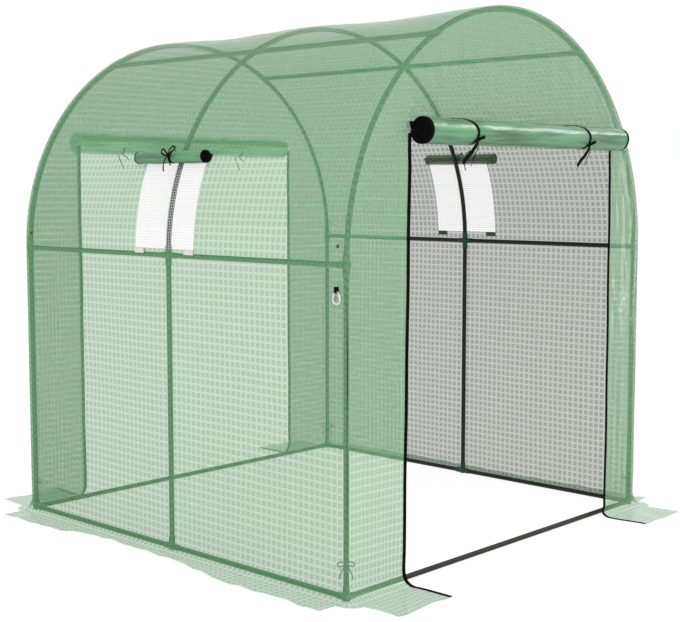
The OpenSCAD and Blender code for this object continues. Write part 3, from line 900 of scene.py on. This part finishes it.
def end_points(x, t, slack):
    """Points and outward directions on the front film. The back one is the same turned half round.
    Beyond the seam with the tunnel's film it swings round the corner into a gusset."""
    sizes, _, _ = settings()
    t = end_height(x, t)
    out, z, ny, nz = end_profile(t)
    run = np.clip((-t - FLARE_LENGTH) / END_FLAP_RUN, 0, 1)
    share = np.clip(np.abs(x) - SEAM_X, 0, GUSSET) / GUSSET
    x = np.clip(x, -SEAM_X, SEAM_X)
    edge = 1 + run * ripple(x, x, END_FLAP_EDGE)
    lift = run * (1 - 0.55 * run) * (END_FLAP_RIDE + ripple(x, run, END_FLAP_LIFT))
    shrink = 1 - share * (1 - sizes.side_flare / FLARE_R)
    out = (np.minimum(out, FLARE_R) * shrink + np.maximum(out - FLARE_R, 0)) * edge
    z = np.where(t < 0, FILM_MID + (z - FILM_MID) * shrink, z)
    swing = share * math.pi / 2
    y = END_Y + FILM_MID - out * np.cos(swing) - end_bulge(x, z, slack) * np.where(t > 0, 1, ny)
    x = x + np.sign(x) * out * np.sin(swing)
    return np.stack([x, y, z + np.maximum(lift, 0)], 1), np.stack([0 * x, -ny, nz], 1)


def turned(points):
    """The same points at the back end."""
    return np.asarray(points) * (-1, -1, 1)


def flap_reach(y, side):
    """Share of the full reach that a side flap has along the tunnel; ripples take up the rest."""
    return np.where(side < 0, np.interp(y, *LEFT_REACH), np.interp(y, *RIGHT_REACH))


def soft_flap_reach(y, side):
    """flap_reach with its corners rounded, as a mean of places nearby."""
    nearby = np.linspace(-0.07, 0.07, 9)
    return sum(flap_reach(y + d, side) for d in nearby) / len(nearby)


class GREENHOUSE_OT_frame_finish(Operator):
    """Give the CAD tubes, connectors and fittings their finishes"""

    bl_idname = "greenhouse.frame_finish"
    bl_label = "Frame Finish"
    bl_options = {"REGISTER", "UNDO"}

    def execute(self, context):
        _, colours, _ = settings()
        tube = tube_material(colours.tube)
        connector = plastic_material("connector plastic", colours.connector)
        tab = fabric_material("fastener tab", colours.tab)
        black = black_tape()
        hook = plastic_material("coated wire", colours.hook, rough=(0.22, 0.35))
        eyelet = plastic_material("eyelet plastic", colours.eyelet)
        finishes = {
            tube: ("legs", "arch", "rails", "rail", "purlins"),
            connector: ("connectors",),
            tab: ("tabs",),
            black: ("strap",),
            hook: ("hook",),
            eyelet: ("eyelets",),
        }
        for name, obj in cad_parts.items():
            for material, ends in finishes.items():
                if name.split("_")[-1] in ends:
                    obj.data.materials.clear()
                    obj.data.materials.append(material)
        return {"FINISHED"}


class GREENHOUSE_OT_tunnel_cover(Operator):
    """Make the film over the walls, shoulders and roof, with its side flaps"""

    bl_idname = "greenhouse.tunnel_cover"
    bl_label = "Tunnel Cover"
    bl_options = {"REGISTER", "UNDO"}

    def execute(self, context):
        sizes, colours, _ = settings()
        r = COVER_R - FILM_MID
        end, flat = tunnel_length()
        purlin, spring = r * PURLIN_A, r * math.pi / 2
        holes = [
            (side, r * (math.pi / 2 - head), r * (math.pi / 2 - sill), front, back)
            for side, name in SIDES for sill, head, front, back in (WINDOWS[name],)
        ]
        turn = spring + SPRING_Z - sizes.side_flare
        stops = [side * a for side, _ in SIDES for a in (purlin, turn, flat, end)]
        stops += [side * a for side, head, sill, _, _ in holes for a in (head, sill)]
        columns = spaced(sorted(stops + [0.0]), TUNNEL_STEP)
        rows = spaced(sorted([END_Y, -END_Y] + [y for hole in holes for y in hole[3:]]), TUNNEL_STEP)

        def place(s, y):
            points, out = tunnel_points(s, y)
            a = np.abs(s)
            bay = np.where(np.abs(y) < HOOP_Y, np.sin(math.pi * y / HOOP_Y) ** 2, 0)
            crown = np.where(a < purlin, np.cos(a / purlin * math.pi / 2) ** 2, 0)
            shoulder = np.where((a > purlin) & (a < spring),
                                np.sin((a - purlin) / (spring - purlin) * math.pi) ** 2, 0)
            wall = np.where((a > spring) & (a < flat),
                            np.sin((a - spring) / (flat - spring) * math.pi) ** 2, 0)
            dip = bay * (sizes.roof_sag * crown + sizes.wall_sag * (shoulder + wall))
            pucker = bay * (crown + shoulder + wall) * ripple(s, y, TUNNEL_PUCKERS)
            run = np.clip((a - flat) / (end - flat), 0, 1)
            slack = 1 - soft_flap_reach(y, np.sign(s))
            crests = np.maximum(SIDE_FLAP_RIDE + DRAWN_IN_RIDE * slack + ripple(s, y, SIDE_FLAP_LIFT), 0)
            points = points - out * (dip + pucker)[:, None]
            points[:, 2] += run * (1 - 0.5 * run) * crests
            return points, np.stack([s, y], 1)

        def keep(s, y):
            stays = np.ones(len(s), bool)
            for side, head, sill, front, back in holes:
                stays &= (side * s < head) | (side * s > sill) | (y < front) | (y > back)
            return stays

        cover = sheet_piece("tunnel_cover", columns, rows, place, keep=keep)
        thicken(cover, sizes.film_thickness, film_materials("tunnel", colours.tunnel_shine), inner_step=1)
        smooth_shade(cover, angle=60)
        seat(cover, "film", "left_wall_cover", "right_wall_cover", "left_shoulder_cover", "roof_cover",
             "right_shoulder_cover", "left_ground_flap", "right_ground_flap")
        return {"FINISHED"}


class GREENHOUSE_OT_end_covers(Operator):
    """Make the film at both ends, with its gable, door strips and ground flaps"""

    bl_idname = "greenhouse.end_covers"
    bl_label = "End Covers"
    bl_options = {"REGISTER", "UNDO"}

    def execute(self, context):
        sizes, colours, _ = settings()
        head = DOOR_Z - END_FLARE
        outer = SEAM_X * np.sin(np.linspace(math.asin(DOOR_X / SEAM_X), math.pi / 2, STRIP_COLUMNS))
        outer = np.concatenate([outer, SEAM_X + np.linspace(0, GUSSET, GUSSET_COLUMNS)[1:]])
        inner = spaced([-DOOR_X, DOOR_X], GABLE_STEP)
        columns = np.concatenate([-outer[:0:-1], inner, outer[1:]])
        spring, crown = SPRING_Z - END_FLARE, SPRING_Z + SEAM_X - END_FLARE
        rows = spaced([END_FOOT, -FLARE_LENGTH, 0, spring, head, crown], END_STEP)

        def keep(x, t):
            in_gusset = (t < 0) & (t > -FLARE_LENGTH - GUSSET_RUN)
            return ((np.abs(x) > DOOR_X) | (t > head)) & ((np.abs(x) < SEAM_X) | in_gusset)

        for name, slack in ENDS:
            def place(x, t):
                points, _ = end_points(x, t, slack)
                cloth = np.stack([x * sizes.end_weave, end_height(x, t)], 1)
                return (turned(points) if name == "back" else points), cloth

            cover = sheet_piece(name + "_end_cover", columns, rows, place, keep=keep)
            thicken(cover, sizes.film_thickness, film_materials("end", colours.end_shine), inner_step=1)
            smooth_shade(cover, angle=60)
            panels = ("left_cover", "right_cover", "gable_cover", "ground_flaps")
            seat(cover, "film", *(f"{name}_{panel}" for panel in panels))
        return {"FINISHED"}


class GREENHOUSE_OT_door_zips(Operator):
    """Make the zip tapes down the edges of both doorways"""

    bl_idname = "greenhouse.door_zips"
    bl_label = "Door Zips"
    bl_options = {"REGISTER", "UNDO"}

    def execute(self, context):
        sizes, _, _ = settings()
        black = black_tape()
        tooth = (sizes.zip_pitch * TOOTH_SHARE, TOOTH_WIDTH, TOOTH_HEIGHT)
        for name, slack in ENDS:
            parts = []
            for side in (-1, 1):
                t = np.arange(END_FOOT + ZIP_END, DOOR_Z - END_FLARE, sizes.zip_pitch)
                x = np.full_like(t, side * (DOOR_X - sizes.zip_width / 2 + ZIP_LAP))
                line, out = end_points(x, t, slack)
                if name == "back":
                    line, out = turned(line), turned(out)
                line = line + out * ZIP_OFF
                parts.append(tape(line[::3], out[::3], sizes.zip_width, ZIP_THICKNESS))
                along = np.gradient(line, axis=0)
                parts.append(boxes(line + out * TEETH_OFF, along, out, tooth))
            zips = joined_piece(name + "_zips", parts, black)
            seat(zips, "black_tape", name + "_door_zips")
        return {"FINISHED"}


def rolled_sheet(name, place, radius, core, length, cloth_length, tail, slant, materials, hem, shape):
    """A film rolled up on itself. place turns points along the roll, towards the wall and up into places.
    The outer turn ends on the wall's side and rises by tail to its seam, slanting back to the wall."""
    turns = cloth_length / (math.pi * (radius + core))
    whole = 2 * math.pi * turns
    shares = np.concatenate([np.linspace(0, 1, int(turns * TURN_STEPS)), 1 + np.linspace(0, 1, 6)[1:]])
    stops = spaced([-length / 2, -length / 2 + hem, length / 2 - hem, length / 2], ROLL_STEP)

    def spiral(share, along):
        on = np.minimum(share, 1)
        turn = whole * (on - 1)
        r = core + (radius - core) * on
        r = r * shape(along, turn)
        inward = np.where(share > 1, radius + (share - 1) * slant, np.minimum(r * np.cos(turn), radius))
        up = np.where(share > 1, (share - 1) * tail, r * np.sin(turn))
        cloth = math.pi * (radius + core) * turns * on**1.6 + np.maximum(share - 1, 0) * tail
        return place(along, inward, up), np.stack([cloth, along], 1)

    def kind(share, along):
        return np.where(np.abs(along) > length / 2 - hem, 1, 0)

    obj = sheet_piece(name, shares, stops, spiral, kind)
    thicken(obj, ROLLED_WALL, materials, inner_step=0)
    face_outwards(obj)
    smooth_shade(obj, angle=60)
    return obj


def door_roll_frame(name):
    """Middle of a door's roll, its radius, its length and the room behind it, from its CAD node."""
    low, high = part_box(name + "_door_roll")
    wall, outer = (END_Y, low.y) if name == "front" else (-END_Y, high.y)
    radius = DOOR_Z - low.z + TURN_PITCH / 4
    middle = Vector(((low.x + high.x) / 2, outer - math.copysign(radius - TURN_PITCH / 2, wall), DOOR_Z))
    return middle, radius, high.x - low.x, abs(middle.y - wall) - radius - ROLL_OFF


def window_roll_frame(side, name):
    """Middle of a window flap's roll, its length, and the directions to the wall and up it."""
    low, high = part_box(name + "_window_roll")
    _, head, _, _ = WINDOWS[name]
    inwards = np.array([-side * math.cos(head), 0, -math.sin(head)])
    upwards = np.array([-side * math.sin(head), 0, math.cos(head)])
    middle = np.array([0, (low.y + high.y) / 2, SPRING_Z]) - (COVER_R + ROLL_OFF + WINDOW_ROLL_R) * inwards
    return middle, high.y - low.y, inwards, upwards


class GREENHOUSE_OT_rolls(Operator):
    """Make the rolled-up doors and window flaps"""

    bl_idname = "greenhouse.rolls"
    bl_label = "Rolled Doors and Window Flaps"
    bl_options = {"REGISTER", "UNDO"}

    def execute(self, context):
        sizes, colours, _ = settings()
        black = black_tape()
        # The window rolls' colour takes painted shade on the side towards the wall
        flap = rolled_material("rolled window film", colours.window_roll,
                               (COVER_R + PAINTED_SHADE_NEAR, COVER_R + PAINTED_SHADE_FAR, PAINTED_SHADE_LEFT))
        # The back door's roll takes the lighter colour that carries painted light
        for name, facing, colour in (("front", 1, colours.front_roll), ("back", -1, colours.back_roll_painted_light)):
            middle, radius, length, room = door_roll_frame(name)
            door = rolled_material(f"rolled {name} door film", colour)
            ends = black if name == "front" else door

            def shape(along, turn):
                squeeze = sum(bell(*DOOR_SQUEEZE, along + middle.x - x) for x in TIE_X)
                loose = bell(*LOOSE_END, along + length / 2)
                return 1.0 - squeeze + ripple(along, turn, DOOR_ROLL_LUMPS) + loose

            def place(along, inward, up):
                return np.stack([middle.x + along, middle.y + facing * inward, middle.z + up], 1)

            roll = rolled_sheet(name + "_roll", place, radius, DOOR_CORE, length, DOOR_WOUND, DOOR_TAIL,
                                room * 0.25, [door, ends], sizes.door_hem, shape)
            seat(roll, "rolled_film", name + "_door_roll")
        for side, name in SIDES:
            middle, length, inwards, upwards = window_roll_frame(side, name)

            def place(along, inward, up):
                line = middle + np.outer(along, (0, 1, 0))
                return line + np.outer(inward, inwards) + np.outer(up, upwards)

            def shape(along, turn):
                squeeze = bell(*WINDOW_SQUEEZE, along + middle[1])
                return 0.98 - squeeze + ripple(along, turn, WINDOW_ROLL_LUMPS)

            roll = rolled_sheet(name + "_flap_roll", place, WINDOW_ROLL_R, FLAP_CORE, length, FLAP_WOUND,
                                FLAP_TAIL, 0.0, [flap, black], sizes.flap_hem, shape)
            seat(roll, "rolled_film", name + "_window_roll")
        return {"FINISHED"}


def bow(knot, across, down, out, loop, tails):
    """Lines of a bow from its knot: two loops and two tails of the lengths given."""
    knot, across, down, out = (np.asarray(v, float) for v in (knot, across, down, out))

    def at(a, d, o):
        return knot + across * a + down * d + out * o

    lines = []
    for side in (-1, 1):
        lines.append(through([
            at(0, 0, 0.002), at(side * loop * 0.45, -loop * 0.30, 0.006),
            at(side * loop, -loop * 0.12, 0.008), at(side * loop * 0.92, loop * 0.28, 0.007),
            at(side * loop * 0.4, loop * 0.16, 0.004), at(0, 0, 0.003)]))
        lines.append(through([
            at(0, 0, 0.003), at(side * tails * 0.22, tails * 0.35, 0.007),
            at(side * tails * 0.40, tails * 0.75, 0.005), at(side * tails * 0.46, tails, 0.004)]))
    return lines


def knot_coil(centre, axis, out, radius):
    """The line of a tape wound into a knot, and its outward directions."""
    axis, out = unit(np.asarray(axis, float)), unit(np.asarray(out, float))
    side = np.cross(axis, out)
    a = np.linspace(0, 2 * math.pi * KNOT_TURNS, int(TURN_STEPS * KNOT_TURNS))
    r = radius * (0.7 + 0.3 * a / a[-1])
    shift = np.sin(a * 0.5) * radius * 0.5
    line = (np.asarray(centre, float) + np.outer(r * np.cos(a), out) + np.outer(r * np.sin(a), side)
            + np.outer(shift, axis))
    return line, np.outer(np.cos(a), out) + np.outer(np.sin(a), side)


class GREENHOUSE_OT_ties(Operator):
    """Make the tapes that tie the rolls and the cover's corners"""

    bl_idname = "greenhouse.ties"
    bl_label = "Ties"
    bl_options = {"REGISTER", "UNDO"}

    def execute(self, context):
        sizes, colours, _ = settings()
        black = black_tape()
        string = fabric_material("corner tape", colours.string)
        width, thick = sizes.tape_width, sizes.tape_thickness
        parts = []
        for name, facing in (("front", 1), ("back", -1)):
            middle, radius, _, _ = door_roll_frame(name)
            for x in TIE_X:
                parts += self.door_tie(middle, radius * TIE_RADIUS, x, facing, width, thick)
        seat(joined_piece("door_ties", parts, black), "black_tape", "door_roll_ties")
        parts = []
        for side, name in SIDES:
            parts += self.window_tie(side, name, width * WINDOW_TIE_WIDTH, thick)
        seat(joined_piece("window_ties", parts, black), "black_tape", "window_roll_ties")
        parts = []
        for x in (-1, 1):
            for y in (-1, 1):
                parts += self.corner_tie(x, y, sizes.string_width, thick * CORNER_THICK)
        seat(joined_piece("corner_ties", parts, string), "black_tape")
        return {"FINISHED"}

    def door_tie(self, middle, radius, x, facing, width, thick):
        """A tape over the roll's front to a knot and on round underneath, with tails from the knot."""
        def round_roll(turn, along):
            r = radius + 0.0016
            y, z = middle.y + facing * r * np.cos(turn), middle.z + r * np.sin(turn)
            return np.stack([x + along, y, z], -1)

        def facing_out(turn):
            return np.stack([0 * turn, facing * np.cos(turn), np.sin(turn)], -1)

        width = width if facing > 0 else width * BACK_TIE_WIDTH
        knot_turn = math.radians(TIE_KNOT)
        over = np.radians(np.linspace(TIE_START, TIE_KNOT, 40))
        slide = -TIE_SLANT * np.clip((knot_turn - over) / math.radians(128), 0, 1.2) ** 3.5
        under = np.radians(np.linspace(TIE_KNOT, TIE_END, 30))
        made = [tape(round_roll(over, slide), facing_out(over), width, thick),
                tape(round_roll(under, -UNDER_SLANT * (under - knot_turn)), facing_out(under), width, thick)]
        face = facing_out(np.array(knot_turn))
        knot = round_roll(np.array(knot_turn), 0) + face * 0.003
        made.append(tape(*knot_coil(knot, (0.5, 0, 0.85), face, radius=0.0055), width * KNOT_WIDTH, thick))
        hangs = FRONT_TAILS if facing > 0 else BACK_TAILS
        for share, hang in hangs:
            line = through([knot + np.array([along, -facing * out, up]) for along, up, out in hang], per=10)
            made.append(tape(line, (0, -facing, 0), width * share, thick))
        return made

    def window_tie(self, side, name, width, thick):
        """A tape round a window flap's roll at the middle hoop, tied in an uneven bow on the front."""
        middle, _, inwards, upwards = window_roll_frame(side, name)
        middle, radius = middle * (1, 0, 1), WINDOW_ROLL_R * WINDOW_TIE_RADIUS
        a = np.radians(np.linspace(WINDOW_TIE_START, WINDOW_TIE_END, 60))
        out = np.outer(np.cos(a), inwards) + np.outer(np.sin(a), upwards)
        made = [tape(middle + out * (radius + 0.0014), out, width, thick)]
        turn = math.radians(WINDOW_TIE_KNOT)
        face = math.cos(turn) * inwards + math.sin(turn) * upwards
        knot = middle + face * (radius + 0.004)
        up = unit(np.cross(face, (0, 1, 0)))
        up = up if up[2] > 0 else -up
        made.append(tape(*knot_coil(knot, up, face, radius=0.005), width * KNOT_WIDTH, thick))
        for line in WINDOW_BOW:
            points = [knot + np.array((0, along, 0)) + up * rise + face * off for along, rise, off in line]
            made.append(tape(through(points), face, width * 0.75, thick))
        return made

    def corner_tie(self, x, y, width, thick):
        """A thin tape round a corner leg inside the film, tied in a bow that faces the tunnel's middle."""
        leg = np.array([x * HOOP_Y, y * HOOP_Y, CORNER_TIE_Z])
        a = np.radians(np.linspace(0, 360, 40))
        out = np.stack([np.cos(a), np.sin(a), 0 * a], 1)
        ring = leg + out * CORNER_TIE_R + np.outer(0.002 * np.sin(a), (0, 0, 1))
        made = [tape(ring, out, width, thick)]
        face = unit(np.array([-x, -y, 0.0]))
        knot = leg + face * 0.0125
        across = np.cross(face, (0, 0, 1))
        made.append(tape(*knot_coil(knot, (0, 0, 1), face, radius=0.003), width * KNOT_WIDTH, thick))
        for line in bow(knot, across, (0, 0, -1), face, CORNER_LOOP, CORNER_TAIL):
            made.append(tape(line, face, width * 0.7, thick))
        return made


class GREENHOUSE_OT_window_nets(Operator):
    """Make the knitted nets in the window openings, and the patches behind the fastener tabs"""

    bl_idname = "greenhouse.window_nets"
    bl_label = "Window Nets"
    bl_options = {"REGISTER", "UNDO"}

    def execute(self, context):
        sizes, colours, _ = settings()
        white = fabric_material("window net", colours.net, grain=1500.0, roughness=0.75)
        green = fabric_material("window patch", colours.patch)
        r = COVER_R - NET_DEPTH
        for side, name in SIDES:
            sill, head, front, back = WINDOWS[name]
            low, high = r * (math.pi / 2 - head), r * (math.pi / 2 - sill)
            across = np.linspace(low, high, round((high - low) / sizes.net_pitch) + 1)
            along = np.linspace(front, back, round((back - front) / sizes.net_pitch) + 1)

            def place(s, y):
                a = s / r
                points = np.stack([side * r * np.sin(a), y, SPRING_Z + r * np.cos(a)], 1)
                return points, np.stack([s, y], 1)

            net = sheet_piece(name + "_net", across, along, place)
            net.data.materials.append(white)
            strands = net.modifiers.new("Strands", "WIREFRAME")
            strands.thickness = sizes.net_strand
            strands.use_even_offset = False
            apply_modifier(net, strands)
            face_outwards(net)
            smooth_shade(net, angle=50)
            seat(net, "net", name + "_window_net")
        self.patches(sizes, green)
        return {"FINISHED"}

    def patches(self, sizes, green):
        """Pieces of tape on the inner side of the film, behind the fastener tabs."""
        length, height, thick = sizes.patch_length, sizes.patch_height, sizes.tape_thickness
        reach = COVER_R - FILM_MID - sizes.film_thickness - thick
        centres, outs = [], []
        for side, name in SIDES:
            sill, _, front, back = WINDOWS[name]
            angle = sill - height / 2 / COVER_R
            out = np.array([side * math.cos(angle), 0, math.sin(angle)])
            for y in (front + length / 2, back - length / 2):
                centres.append(out * reach + (0, y, SPRING_Z))
                outs.append(out)
        along = np.array([(0.0, 1.0, 0.0)] * len(centres))
        parts = [boxes(np.array(centres), along, np.array(outs), (length, height, thick))]
        seat(joined_piece("window_patches", parts, green), "eyelet")


class GREENHOUSE_OT_studio(Operator):
    """Make the floor, the light and the camera"""

    bl_idname = "greenhouse.studio"
    bl_label = "Studio"
    bl_options = {"REGISTER", "UNDO"}

    def execute(self, context):
        _, _, studio = settings()
        scene = context.scene
        bpy.ops.object.select_all(action="DESELECT")
        bpy.ops.mesh.primitive_plane_add(size=FLOOR_SIZE)
        floor = context.active_object
        floor.name = "floor"
        nodes = material_nodes("studio floor")
        seen = nodes.seen()
        floor.data.materials.append(nodes.finish(
            Base_Color=nodes.mix(seen, rgba(FLOOR_COLOUR), rgba((studio.floor_shade,) * 3)),
            Roughness=0.9, Specular_IOR_Level=0.0, Emission_Color=(1, 1, 1, 1),
            Emission_Strength=nodes.calc("MULTIPLY", seen, studio.floor_white)))
        scene.world = bpy.data.worlds.new("Studio")
        nodes = NodeTree(scene.world, "OutputWorld")
        light = nodes.node("Background", {"Color": (1, 1, 1, 1),
                                          "Strength": nodes.between(nodes.seen(), studio.sky, 1.0)})
        nodes.put(nodes.output.inputs[0], light.outputs[0])
        for name, place, size, power in (
            ("Key", (-4.0, -4.5, 5.0), (4.0, 4.0), studio.key),
            ("Side", (5.6, -2.0, 1.4), (0.3, 2.4), studio.side),
            ("Top", (5.2, -3.2, 4.4), (1.6, 1.6), studio.top),
        ):
            bpy.ops.object.light_add(type="AREA", location=place)
            lamp = context.active_object
            lamp.name = name
            lamp.data.shape = "RECTANGLE"
            lamp.data.size, lamp.data.size_y = size
            lamp.data.energy = power
            lamp.rotation_euler = (LAMP_AIM - Vector(place)).to_track_quat("-Z", "Y").to_euler()
        bpy.ops.object.camera_add(location=studio.camera_place)
        camera = context.active_object
        yaw, pitch = studio.camera_yaw, studio.camera_pitch
        ahead = Vector((math.sin(yaw) * math.cos(pitch), math.cos(yaw) * math.cos(pitch), math.sin(pitch)))
        camera.rotation_euler = ahead.to_track_quat("-Z", "Y").to_euler()
        camera.data.sensor_width = SENSOR_WIDTH
        camera.data.lens = studio.lens
        scene.camera = camera
        scene.view_settings.view_transform = "Standard"
        return {"FINISHED"}


class GREENHOUSE_PT_panel(Panel):
    """Sidebar panel with the greenhouse's settings and steps"""

    bl_label = "Greenhouse"
    bl_idname = "GREENHOUSE_PT_panel"
    bl_space_type = "VIEW_3D"
    bl_region_type = "UI"
    bl_category = "Greenhouse"

    def draw(self, context):
        layout = self.layout
        for step in STEPS:
            layout.operator(step.bl_idname)
        for group in (context.scene.greenhouse_sizes, context.scene.greenhouse_colours,
                      context.scene.greenhouse_studio):
            column = layout.column(align=True)
            for name in group.__annotations__:
                column.prop(group, name)


STEPS = (
    GREENHOUSE_OT_frame_finish,
    GREENHOUSE_OT_tunnel_cover,
    GREENHOUSE_OT_end_covers,
    GREENHOUSE_OT_door_zips,
    GREENHOUSE_OT_rolls,
    GREENHOUSE_OT_ties,
    GREENHOUSE_OT_window_nets,
    GREENHOUSE_OT_studio,
)
GROUPS = {
    "greenhouse_sizes": GreenhouseSizes,
    "greenhouse_colours": GreenhouseColours,
    "greenhouse_studio": GreenhouseStudio,
}


def register():
    for group in GROUPS.values():
        bpy.utils.register_class(group)
    for cls in STEPS + (GREENHOUSE_PT_panel,):
        bpy.utils.register_class(cls)
    for name, group in GROUPS.items():
        setattr(bpy.types.Scene, name, PointerProperty(type=group))


def unregister():
    for name in GROUPS:
        delattr(bpy.types.Scene, name)
    for cls in (GREENHOUSE_PT_panel,) + STEPS[::-1]:
        bpy.utils.unregister_class(cls)
    for group in GROUPS.values():
        bpy.utils.unregister_class(group)


def main():
    register()
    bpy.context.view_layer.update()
    bpy.ops.greenhouse.frame_finish()
    bpy.ops.greenhouse.tunnel_cover()
    bpy.ops.greenhouse.end_covers()
    bpy.ops.greenhouse.door_zips()
    bpy.ops.greenhouse.rolls()
    bpy.ops.greenhouse.ties()
    bpy.ops.greenhouse.window_nets()
    bpy.ops.greenhouse.studio()


if __name__ == "__main__":
    main()
